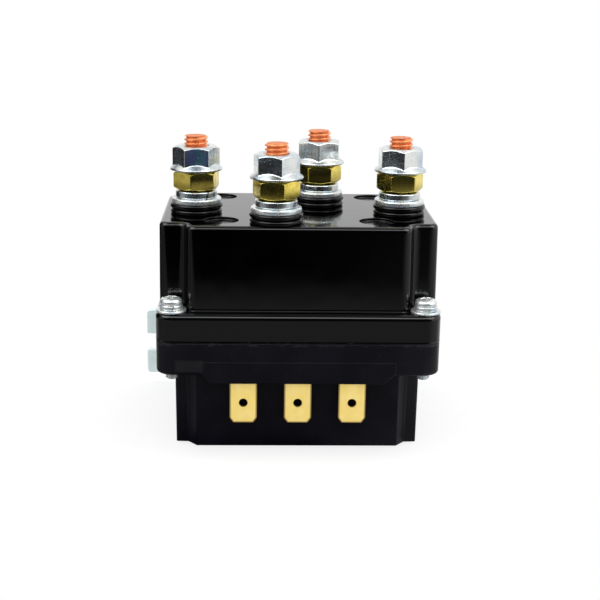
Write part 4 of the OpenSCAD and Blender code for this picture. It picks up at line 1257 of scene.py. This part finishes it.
def thread_rows(turn, z, pitch, crest, root, start, end, lift=0.0):
    """Radius of a right-hand thread at each angle and height: root + (crest - root) * w, where w is a soft
    triangle wave of (z - lift) / pitch - turn / tau, fading to 0 before start and after end."""
    wave = ((z - lift) / pitch - turn / math.tau) % 1
    ridge = ramp(1 - abs(2 * wave - 1), 0.12, 0.82)
    fade = ramp(z, start, start + 0.6 * pitch) * (1 - ramp(z, end - 0.3 * pitch, end + 0.2 * pitch))
    return root + (crest - root) * ridge * fade


class RELAY_OT_power_studs(bpy.types.Operator):
    """Threaded copper studs with a chamfered end, a square collar and a riveted spigot"""
    bl_idname = "relay.power_studs"
    bl_label = "Power studs"

    def execute(self, context):
        g = in_mm(context.scene.relay_studs)
        for side, centre, lift in zip(STUDS, stud_places().values(), THREAD_LIFTS):
            skin = Skin()
            self.stem(skin, g, centre, lift)
            self.foot(skin, g, centre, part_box("stud_" + side)[0][2] / MM)
            piece = skin.piece("stud_thread_" + side, "case", finish("stud_copper"), "stud_copper", 50)
            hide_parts("stud_" + side)
        return {"FINISHED"}

    def stem(self, skin, g, centre, lift):
        """Plain stem, thread and slightly hollow end. Near its end the thread's radius is at most
        thread_r - 0.3 + 1.1 * (top - z), which is the chamfer. The rows are closer there."""
        turn = turns(72)
        close, last = 67, g.top - 0.02
        z = [np.arange(g.thread_z - 0.5, close, 0.125), np.arange(close, last, 0.05), [last]]
        z = np.concatenate(z)[:, None]
        r = thread_rows(turn[None], z, g.pitch, g.thread_r, g.root_r, g.thread_z, g.top + 1, lift)
        r = np.minimum(r, g.thread_r - 0.30 + (g.top - z) * 1.1)
        low = g.collar_high
        stem = np.array([(0, low), (g.stem_r - 0.05, low), (g.stem_r, low + 0.05),
                         (g.stem_r, g.thread_z - 1), (g.root_r, g.thread_z - 0.7)])
        cap = np.array([(g.root_r - 0.12, g.top), (1.6, g.top), (1.5, g.top - 0.015), (0.3, g.top - 0.015),
                        (0, g.top - 0.03)])
        ends = [about(centre, rows[:, :1], turn, rows[:, 1:]) for rows in (stem, cap)]
        skin.grid(np.concatenate([ends[0], about(centre, r, turn, z), ends[1]]))

    def foot(self, skin, g, centre, low):
        """Square collar under the tower, and the spigot below it with its riveted end. A long spigot, which
        ends below 38 mm, is as wide as the stem above its rivet."""
        base, top = g.collar_low, g.collar_high
        loops = []
        for inset, z in ((0.25, base), (0.05, base + 0.05), (0, base + 0.2), (0, top - 0.2),
                         (0.05, top - 0.05), (0.25, top)):
            half = g.collar_half - inset
            loops.append(at_height(rectangle(half, half, 0.4, 4) + centre, z))
        skin.grid(loops)
        skin.region([loops[0]])
        skin.region([loops[-1]])
        r = g.spigot_r
        spigot = [(0, low), (r - 0.2, low), (r, low + 0.15), (r, low + 1.6)]
        if low <= 38:
            r = g.stem_r
            spigot.append((r, low + 1.65))
        spigot += [(r, base + 0.1), (0, base + 0.1)]
        skin.lathe(spigot, 48, centre)


def hex_radius(turn, half, r):
    """Radius of a hexagon of half width across flats: half / cos(t) along each flat, t from its middle,
    and the far side of a circle of radius r round each corner."""
    t = (turn + SIXTH / 2) % SIXTH - SIXTH / 2
    u = SIXTH / 2 - abs(t)
    centre = (half - r) / math.cos(SIXTH / 2)
    flat = half / np.cos(t)
    corner = centre * np.cos(u) + np.sqrt(np.maximum(r * r - (centre * np.sin(u)) ** 2, 0))
    return np.where(abs(centre * np.sin(u)) < r * 0.5, np.minimum(corner, flat), flat)


def hex_turns(half, r):
    """Angles of a hexagon's columns: few along the flats and close round the corners."""
    centre = (half - r) / math.cos(SIXTH / 2)
    edge = SIXTH / 2 - math.asin(min(r * 0.5 / centre, 1))
    beside = edge - 0.012
    flat = np.concatenate([[-beside], np.linspace(-edge * 0.9, edge * 0.9, 11), [beside]])
    side = np.concatenate([flat, np.linspace(edge, SIXTH - edge, 7)])
    return (side[None] + np.arange(6)[:, None] * SIXTH).reshape(-1)


def bent(a, corner, b, steps=4):
    """Rows of a soft edge from a to b past the corner: a quadratic curve (1-t)^2 a + 2t(1-t) c + t^2 b."""
    t = np.linspace(0, 1, steps + 1)[:, None, None]
    return (1 - t) ** 2 * a + 2 * t * (1 - t) * corner + t * t * b


def nut(skin, g, centre, turn, low, high, rim=None):
    """Hexagon nut on an axis: rows of radius and height for every angle. Each flat ends in the curve where
    the cone r = half - 0.38 + (high - z) / tan 30 cuts it, and that crease is softened. The lower end has
    a deeper cone, or a round-edged flange whose own cone runs up to the flats."""
    half = g.nut_half
    bore = g.nut_bore
    corner_r = 0.34
    t = hex_turns(half, corner_r)
    r = hex_radius(t, half, corner_r)
    slope = math.tan(SIXTH / 2)

    def row(radius, z):
        """The radius and the height at every angle."""
        return np.stack([radius + 0 * t, z + 0 * t], -1)

    if rim:
        e, sweep = 0.34, 2.467
        edge = [(rim - e + e * math.sin(a), low + e - e * math.cos(a)) for a in np.linspace(0, sweep, 9)]
        rows = [row(radius, z) for radius, z in [(bore, low), (rim - e, low)] + edge[1:]]
        top_r, top_z = edge[-1]
        meet = top_z + (top_r - r) * 0.8
        rows += list(bent(row(r + 0.22, meet - 0.176), row(r, meet), row(r, meet + 0.3)))
    else:
        foot = half - 0.85
        meet = low + (r - foot) * slope
        rows = [row(bore + 0.4, low), row(foot - 0.05, low), row(foot, low + 0.01)]
        rows += list(bent(row(r - 0.22, meet - 0.22 * slope), row(r, meet), row(r, meet + 0.18)))
    rows.append(row(r, low + (high - low) * 0.5))
    tip = half - 0.38
    drop = (r - tip) * slope
    soft = np.minimum(0.16, drop * 0.45)
    crease = high - drop
    above = row(r - soft / slope * 0.8, crease + soft * 0.8)
    rows += list(bent(row(r, crease - soft), row(r, crease), above))
    rows += [row(tip, high - 0.01), row(tip - 0.06, high), row(bore + 0.46, high)]
    rows += [row(bore + 0.40, high - 0.02), row(bore, high - 0.42), row(bore, low if rim else low + 0.4)]
    profile = np.stack(rows)
    skin.grid(about(centre, profile[..., 0], t + turn, profile[..., 1]), wrap_rows=True)


class RELAY_OT_nuts(bpy.types.Operator):
    """Yellow zinc plain nuts and bright zinc flange nuts on the four studs"""
    bl_idname = "relay.nuts"
    bl_label = "Nuts"

    def execute(self, context):
        g = in_mm(context.scene.relay_studs)
        lower = Skin()
        upper = Skin()
        for centre, plain, flanged in zip(stud_places().values(), PLAIN_NUT_TURNS, FLANGE_NUT_TURNS):
            nut(lower, g, centre, math.radians(plain), g.spring_z, g.nut_z)
            nut(upper, g, centre, math.radians(flanged), g.nut_z, g.flange_nut_z, g.nut_rim)
        piece = lower.piece("plain_nuts", "case", finish("yellow_zinc"), "yellow_zinc", 50)
        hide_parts("stud_hex_nuts")
        piece = upper.piece("flange_nuts", "case", finish("zinc"), "zinc", 50)
        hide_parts("stud_flange_nuts")
        return {"FINISHED"}


def washer(skin, centre, r_in, r_out, low, high, soft, sharp, count):
    """Stamped washer: a rectangle turned about the axis, its upper outer edge rounded by the die and the
    lower one nearly sharp."""
    profile = [(r_in + 0.1, low), (r_out - sharp - 0.05, low)]
    profile += [(r_out - across, low + along) for across, along in quarter(sharp, 3)[::-1]]
    profile += [(r_out - across, high - along) for across, along in quarter(soft, 5)]
    profile += [(r_out - soft - 0.08, high), (r_in + 0.16, high), (r_in + 0.1, high)]
    profile += [(r_in + 0.03, high - 0.03), (r_in, high - 0.1), (r_in, low + 0.1)]
    skin.lathe(profile, count, centre, wrap=True)


def split_ring(skin, centre, r_in, r_out, low, high, turn, gap, count):
    """Spring washer: a rounded rectangle carried round the axis from one side of its split to the other.
    The split slants by the height times tan 15."""
    mid = (r_in + r_out) / 2
    half = (r_out - r_in) / 2
    thick = (high - low) / 2
    section = rectangle(half, thick, min(0.32, thick * 0.5), 5, 0.03)
    height = section[:, 1]
    open_turn = gap / mid
    slant = height * math.tan(math.radians(15)) / mid
    share = np.linspace(0, 1, count)[:, None]
    t = turn + open_turn / 2 + share * (math.tau - open_turn) + slant
    shape = about(centre, mid + section[:, 0], t, low + thick + height)
    skin.grid(shape)
    skin.cap(shape[0], 0.2)
    skin.cap(shape[-1], 0.2)


class RELAY_OT_stud_washers(bpy.types.Operator):
    """Flat and spring washers of the studs"""
    bl_idname = "relay.stud_washers"
    bl_label = "Stud washers"

    def execute(self, context):
        g = in_mm(context.scene.relay_studs)
        flat = Skin()
        spring = Skin()
        for centre, split in zip(stud_places().values(), SPLIT_TURNS):
            turn = math.radians(split)
            washer(flat, centre, g.washer_bore, g.washer_r, g.grommet_z, g.washer_z, 0.42, 0.2, 80)
            split_ring(spring, centre, g.spring_bore, g.spring_r, g.washer_z, g.spring_z, turn,
                       g.spring_gap, 96)
        piece = flat.piece("stud_washers_flat", "case", finish("washer_zinc"), "zinc")
        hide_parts("stud_flat_washers")
        piece = spring.piece("stud_washers_spring", "case", finish("zinc"), "zinc")
        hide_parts("stud_spring_washers")
        return {"FINISHED"}


class RELAY_OT_grommets(bpy.types.Operator):
    """Rubber grommets: a sleeve in the roof and two round lobes above it"""
    bl_idname = "relay.grommets"
    bl_label = "Grommets"

    def execute(self, context):
        s = in_mm(context.scene.relay_case)
        g = in_mm(context.scene.relay_studs)
        skin = Skin()
        low = s.cover_top
        high = g.grommet_z
        rim = g.grommet_r
        lobes = []
        for foot, top, out in ((low + 0.005, low + 1.17, rim - 0.10), (low + 1.27, high, rim)):
            lobes += [(out - across, foot + along) for across, along in quarter(0.5, 7)[::-1]]
            lobes += [(out - across, top - along) for across, along in quarter(0.55, 7)]
        profile = [(3.05, s.roof_z), (4.2, s.roof_z), (4.35, s.roof_z + 0.15), (4.35, low + 0.005)]
        profile += lobes + [(3.2, high), (3.05, high - 0.1)]
        for centre in stud_places().values():
            skin.lathe(profile, 80, centre, wrap=True)
        piece = skin.piece("grommets", "case", finish("seal_rubber"), "seal_rubber")
        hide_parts("stud_grommets")
        return {"FINISHED"}


class RELAY_OT_case_screws(bpy.types.Operator):
    """Pan-head case screws with a cross recess, their flat washers and their spring washers"""
    bl_idname = "relay.case_screws"
    bl_label = "Case screws"

    def execute(self, context):
        s = in_mm(context.scene.relay_case)
        f = in_mm(context.scene.relay_fixings)
        screws = Skin()
        flat = Skin()
        spring = Skin()
        for centre in screw_places(f):
            seat = s.flange_top + (f.sheet_t if centre[1] > 0 else 0)
            low = seat + f.screw_washer_t
            high = low + f.screw_spring_t
            tip = s.flange_z - 1.7 + (seat - s.flange_top)
            washer(flat, centre, f.screw_bore, f.screw_washer_r, seat, low, 0.2, 0.08, 56)
            split_ring(spring, centre, f.screw_bore, f.screw_spring_r, low, high, f.screw_split,
                       f.screw_gap, 64)
            self.head(screws, f, centre, high)
            self.recess(screws, f, centre, high + f.head_h)
            self.shank(screws, f, centre, tip, high)
        piece = screws.piece("pan_screws", "case", finish("screw_zinc"), "zinc", 45)
        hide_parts("case_screws")
        piece = flat.piece("screw_washers_flat", "case", finish("screw_zinc"), "zinc")
        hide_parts("case_flat_washers")
        piece = spring.piece("screw_washers_spring", "case", finish("screw_zinc"), "zinc")
        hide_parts("case_spring_washers")
        return {"FINISHED"}

    def head(self, skin, f, centre, low):
        """Pan head without its face: a turned profile whose side is a quarter of an ellipse."""
        side = low + f.head_h - HEAD_BULGE - 0.02
        foot = low + 0.5
        inner = f.head_face + 0.04
        t = np.linspace(0, RIGHT_ANGLE, 9)
        under = [(0, low), (f.head_r - 0.4, low), (f.head_r - 0.15, low + 0.06), (f.head_r, low + 0.3)]
        crown = np.column_stack([inner + (f.head_r - inner) * np.cos(t), foot + (side - foot) * np.sin(t)])
        skin.lathe(np.vstack([under, crown, [(f.head_face, side + 0.02)]]), 64, centre)

    def recess(self, skin, f, centre, high):
        """The head's face, which falls by the bulge times (distance / face radius) squared, and in it a
        cross-shaped pit whose walls lean inwards."""
        arm, half = 1.35, 0.36
        cross = [(-half, -arm), (half, -arm), (half, -half), (arm, -half), (arm, half), (half, half),
                 (half, arm), (-half, arm), (-half, half), (-arm, half), (-arm, -half), (-half, -half)]
        cosine, sine = math.cos(f.head_turn), math.sin(f.head_turn)
        turned = [[cosine, sine], [-sine, cosine]]
        loops = []
        for inset, depth in ((-0.08, 0), (-0.02, 0.03), (0.02, 0.12), (0.08, 0.95), (0.16, 1.02)):
            outline = shrunk(cross, (0.12, 0.12, 0.1) * 4, inset, 3, 0.02)
            fall = HEAD_BULGE * (outline ** 2).sum(1) / f.head_face ** 2
            loops.append(np.column_stack([outline @ turned + centre, high - fall - depth]))
        skin.grid(loops)
        skin.region([loops[-1]])
        skin.region([at_height(ring(f.head_face, 64, centre), high - HEAD_BULGE), loops[0]])

    def shank(self, skin, f, centre, tip, high):
        """Threaded shank up into the head. Near its tip the radius is at most 1 + 1.2 * (z - tip)."""
        turn = turns(48)
        pitch, core, neck = 0.5, f.screw_r - 0.28, f.screw_r - 0.05
        z = np.arange(tip + 0.05, high - 0.8, 0.05)[:, None]
        r = thread_rows(turn[None], z, pitch, f.screw_r, core, tip - 0.4, high)
        r = np.minimum(r, 1.0 + (z - tip) * 1.2)
        lower = np.array([(0, tip), (0.95, tip)])
        upper = np.array([(neck, high - 0.5), (neck, high + 0.1), (0, high + 0.1)])
        ends = [about(centre, rows[:, :1], turn, rows[:, 1:]) for rows in (lower, upper)]
        skin.grid(np.concatenate([ends[0], about(centre, r, turn, z), ends[1]]))


class RELAY_OT_return_springs(bpy.types.Operator):
    """Return springs of the two plungers, coils of round wire with a mesh of their own"""
    bl_idname = "relay.return_springs"
    bl_label = "Return springs"

    def execute(self, context):
        for side in ("left", "right"):
            low, high = (np.array(corner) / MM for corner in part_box("return_spring_" + side))
            skin = Skin()
            self.coil(skin, low, high)
            piece = skin.piece("spring_coil_" + side, "case", finish("spring_steel"), "spring_steel")
            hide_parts("return_spring_" + side)
            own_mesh(piece)
        return {"FINISHED"}

    def coil(self, skin, low, high):
        """Round wire carried round the middle of its box. It rises by share - 0.11 sin(share * tau) of the
        height, with the share of its length from 0 to 1, so the end turns lie closer."""
        coils, steps, wire = 7, 28, 0.25
        r = (high[1] - low[1]) / 2 - wire
        share = np.linspace(0, 1, coils * steps + 1)[:, None]
        rise = share - 0.11 * np.sin(share * math.tau)
        z = low[2] + wire + rise * (high[2] - low[2] - 2 * wire)
        across = turns(12)[None]
        radius = r + wire * np.cos(across)
        shape = about((low + high) / 2, radius, share * coils * math.tau, z + wire * np.sin(across))
        skin.grid(shape)
        skin.cap(shape[0], 0.3)
        skin.cap(shape[-1], 0.3)


class RELAY_OT_inner_finishes(bpy.types.Operator):
    """Gives every part that keeps its solid shape the finish of its material slot"""
    bl_idname = "relay.inner_finishes"
    bl_label = "Inner finishes"

    def execute(self, context):
        for part in frame["record"]["subparts"]:
            node = frame["nodes"][part["node"]]
            for slot in node.material_slots:
                slot.material = finish(part["material_slot"])
        return {"FINISHED"}


# Stage

def round_about(p, x, y, far, beside=0.0):
    """Brightness of the room by its turn from straight behind, leftwards positive: white behind and to the
    right, a grey panel at the left, dark in front. Nearer, where far is 0, the right side is greyer and
    fades in from the front. Close beside the case, where beside is 1, it fades evenly to both sides."""
    turn = (0 - x).math("ARCTAN2", y) * math.degrees(1)
    level = (x * x + y * y) ** 0.5
    panel_turn, inner, outer = (math.radians(a) for a in (-170, 12, 24))
    panel = (x * math.cos(panel_turn) + y * math.sin(panel_turn)) / level.math("MAXIMUM", 1e-6)
    panel = p.ramp(panel, math.cos(outer), math.cos(inner)) * (0.19 + 0.26 * far)
    behind = p.ramp(turn, 46, 22)
    near = (p.ramp(turn, -182, -110) * 0.50 + p.ramp(turn, -110, -30) * 0.12) * behind
    white = p.ramp(turn, -136, -122) * behind
    side = (near + (white - near) * far).math("MAXIMUM", panel)
    even = p.ramp(turn, -140, -50) * p.ramp(turn, 125, 0)
    return side.math("MAXIMUM", even * beside)


def studio_light(p, c, way):
    """Light of the room seen by reflections along the way: its walls, a white ceiling above and behind, a
    long lamp over the front, and a bright softbox on each side of it. A softbox is where the way lies
    within an angle of its direction."""
    x, y, z = p.axes(way)
    over = p.ramp(z, 0.45, 0.70) * p.ramp(y, -0.12, 0.12) * 0.95
    lamp = p.ramp(z, 0.56, 0.64) * p.ramp(z, 0.90, 0.82) * p.ramp(y, 0.0, -0.2)
    share = (round_about(p, x, y, 1.0) * p.ramp(z, 0.85, 0.55)).math("MAXIMUM", over)
    room = p.mix(share, c.room, (1, 1, 1))
    towards = abs(x) * 0.60 - y * 0.35 + z * 0.72
    inner, outer = (math.radians(a) for a in (16, 30))
    boxes = p.ramp(towards, math.cos(outer), math.cos(inner))
    return p.mix((lamp * 0.8).math("MAXIMUM", boxes), room, (4, 4, 4))


class RELAY_OT_stage(bpy.types.Operator):
    """Camera at the photograph's angle, pale floor, soft studio lamps and the room's light"""
    bl_idname = "relay.stage"
    bl_label = "Stage"

    def execute(self, context):
        scene = context.scene
        stage = scene.relay_stage
        self.camera(scene, stage)
        self.world(scene, scene.relay_finishes)
        self.floor(scene, scene.relay_finishes)
        self.lamp(scene, "strip_light", (0, 0.05, 0.50), (0, 0.05, 0.03), (0.60, 0.12), stage.strip)
        self.lamp(scene, "right_softbox", (0.23, 0.0, 0.45), (0, 0, 0.05), (0.18, 0.18), stage.right_box)
        self.lamp(scene, "left_softbox", (-0.21, 0.0, 0.45), (0, 0, 0.05), (0.18, 0.18), stage.left_box)
        scene.view_settings.view_transform = "Standard"
        return {"FINISHED"}

    def camera(self, scene, stage):
        """The camera looks along (sin yaw cos pitch, cos yaw cos pitch, -sin pitch), and its right and up
        are turned about that by the roll."""
        pitch, yaw, roll = stage.pitch, stage.yaw, stage.roll
        ahead = Vector((math.sin(yaw) * math.cos(pitch), math.cos(yaw) * math.cos(pitch), -math.sin(pitch)))
        level = Vector((math.cos(yaw), -math.sin(yaw), 0))
        above = level.cross(ahead)
        right = math.cos(roll) * level + math.sin(roll) * above
        up = math.cos(roll) * above - math.sin(roll) * level
        data = bpy.data.cameras.new("photo_camera")
        data.sensor_width = 36
        data.lens = stage.lens
        data.clip_start = 0.01
        camera = bpy.data.objects.new("photo_camera", data)
        turn = Matrix((right, up, -ahead)).transposed().to_4x4()
        camera.matrix_world = Matrix.Translation(stage.place) @ turn
        scene.collection.objects.link(camera)
        scene.camera = camera

    def lamp(self, scene, name, place, target, sides, watts):
        """A rectangular lamp that faces its target and doesn't show in reflections."""
        data = bpy.data.lights.new(name, "AREA")
        data.shape = "RECTANGLE"
        data.size, data.size_y = sides
        data.energy = watts
        lamp = bpy.data.objects.new(name, data)
        lamp.visible_glossy = False
        lamp.location = place
        lamp.rotation_euler = (Vector(target) - Vector(place)).to_track_quat("-Z", "Y").to_euler()
        scene.collection.objects.link(lamp)

    def world(self, scene, c):
        """White for the camera, the studio for reflections and an even pale grey for all other rays."""
        world = bpy.data.worlds.new("studio")
        world.use_nodes = True
        scene.world = world
        p = Paint(world.node_tree)
        room = studio_light(p, c, p.node("ShaderNodeTexCoord", output="Generated"))
        shade = p.mix(p.mirrored(), (1.10, 1.10, 1.11), room)
        shade = p.mix(p.node("ShaderNodeLightPath", output="Is Camera Ray"), shade, (1, 1, 1))
        p.feed(p.tree.nodes["Background"].inputs["Color"], shade)

    def floor(self, scene, c):
        """A round floor just below the base."""
        count, z = 96, -0.1
        skin = Skin()
        skin.lathe([(0, z), (60, z), (200, z), (1500, z)], count)
        mesh = bpy.data.meshes.new("floor")
        mesh.from_pydata((np.vstack(skin.blocks) * MM).tolist(), [], skin.faces)
        mesh.validate()
        floor = bpy.data.objects.new("floor", mesh)
        scene.collection.objects.link(floor)
        floor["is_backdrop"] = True
        mesh.materials.append(self.pale_floor(c))

    def pale_floor(self, c):
        """Matt and pale to the light of the lamps. The camera sees plain white, with a quarter of the matt
        floor near the case. Reflections see it as bright as the room there, with a softer share in front
        of the case and at its front corners."""
        material = bpy.data.materials.new("pale_floor")
        material.use_nodes = True
        p = Paint(material.node_tree)
        p.tree.nodes.remove(p.tree.nodes["Principled BSDF"])
        x, y = p.axes()[:2]
        base = p.mix(p.ramp(p.noise(300, 3.0), 0.3, 0.7) * 0.3, c.floor, times(c.floor, 1.08))
        plain = p.node("ShaderNodeBsdfDiffuse", Color=base)
        from_case = (x * x + y * y) ** 0.5
        away = p.ramp(from_case, 0.26, 0.40)
        beside = p.ramp(from_case, 0.160, 0.142)
        front = p.ramp(y, -0.215, -0.148) * p.ramp(abs(x) + y, 0.16, 0.06) * 0.27
        front = front * (0.48 + 0.52 * p.ramp(from_case, 0.070, 0.092)) * p.ramp(y, -0.022, -0.034)
        corner = p.ramp(x, 0.028, 0.040) + p.ramp(x, -0.028, -0.040) * 0.4
        corner = corner * p.ramp(from_case, 0.100, 0.086) * p.ramp(y, -0.012, -0.020)
        bright = round_about(p, x, y, away, beside).math("MAXIMUM", front).math("MAXIMUM", corner)
        mirror = p.mirrored()
        seen = p.mix(bright, (0.004, 0.005, 0.007), (1, 1, 1))
        white = p.node("ShaderNodeEmission", Color=p.mix(mirror, (1, 1, 1), seen))
        outside = ((x / 0.052) ** 2.0 + (y / 0.040) ** 2.0) ** 0.5
        open_floor = p.ramp(outside, 0.8, 1.5, 0.75, 1.0)
        glow = mirror.math("MAXIMUM", p.node("ShaderNodeLightPath", output="Is Camera Ray") * open_floor)
        shader = p.node("ShaderNodeMixShader", Fac=glow, Shader=plain, Shader_001=white)
        p.feed(p.tree.nodes["Material Output"].inputs["Surface"], shader)
        return material


class RELAY_PT_panel(bpy.types.Panel):
    """Lists the relay's pieces"""
    bl_idname = "RELAY_PT_panel"
    bl_label = "Starter relay"
    bl_space_type = "VIEW_3D"
    bl_region_type = "UI"
    bl_category = "Relay"

    def draw(self, context):
        """A button for each operator."""
        for operator in OPERATORS:
            self.layout.operator(operator.bl_idname)


OPERATORS = (
    RELAY_OT_stage, RELAY_OT_upper_cover, RELAY_OT_lower_housing, RELAY_OT_bracket, RELAY_OT_power_studs,
    RELAY_OT_grommets, RELAY_OT_stud_washers, RELAY_OT_nuts, RELAY_OT_case_screws, RELAY_OT_spade_tabs,
    RELAY_OT_return_springs, RELAY_OT_inner_finishes,
)
GROUPS = {"relay_case": CaseSizes, "relay_studs": StudSizes, "relay_fixings": FixingSizes,
          "relay_finishes": Finishes, "relay_stage": StageSettings}


def register():
    """Adds the settings, the operators and the panel."""
    for group in GROUPS.values():
        bpy.utils.register_class(group)
    for name, group in GROUPS.items():
        setattr(bpy.types.Scene, name, PointerProperty(type=group))
    for operator in OPERATORS:
        bpy.utils.register_class(operator)
    bpy.utils.register_class(RELAY_PT_panel)


def unregister():
    """Takes away the panel, the operators and the settings."""
    bpy.utils.unregister_class(RELAY_PT_panel)
    for operator in reversed(OPERATORS):
        bpy.utils.unregister_class(operator)
    for name in GROUPS:
        delattr(bpy.types.Scene, name)
    for group in reversed(list(GROUPS.values())):
        bpy.utils.unregister_class(group)


def plain(box):
    """A box's corners as lists of numbers."""
    return [[float(v) for v in corner] for corner in box]


def main():
    """Runs every operator in its order."""
    register()
    for operator in OPERATORS:
        group, name = operator.bl_idname.split(".")
        getattr(getattr(bpy.ops, group), name)()
    {"cad": plain(frame_box), "visual": plain(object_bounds())}


if __name__ == "__main__":
    main()
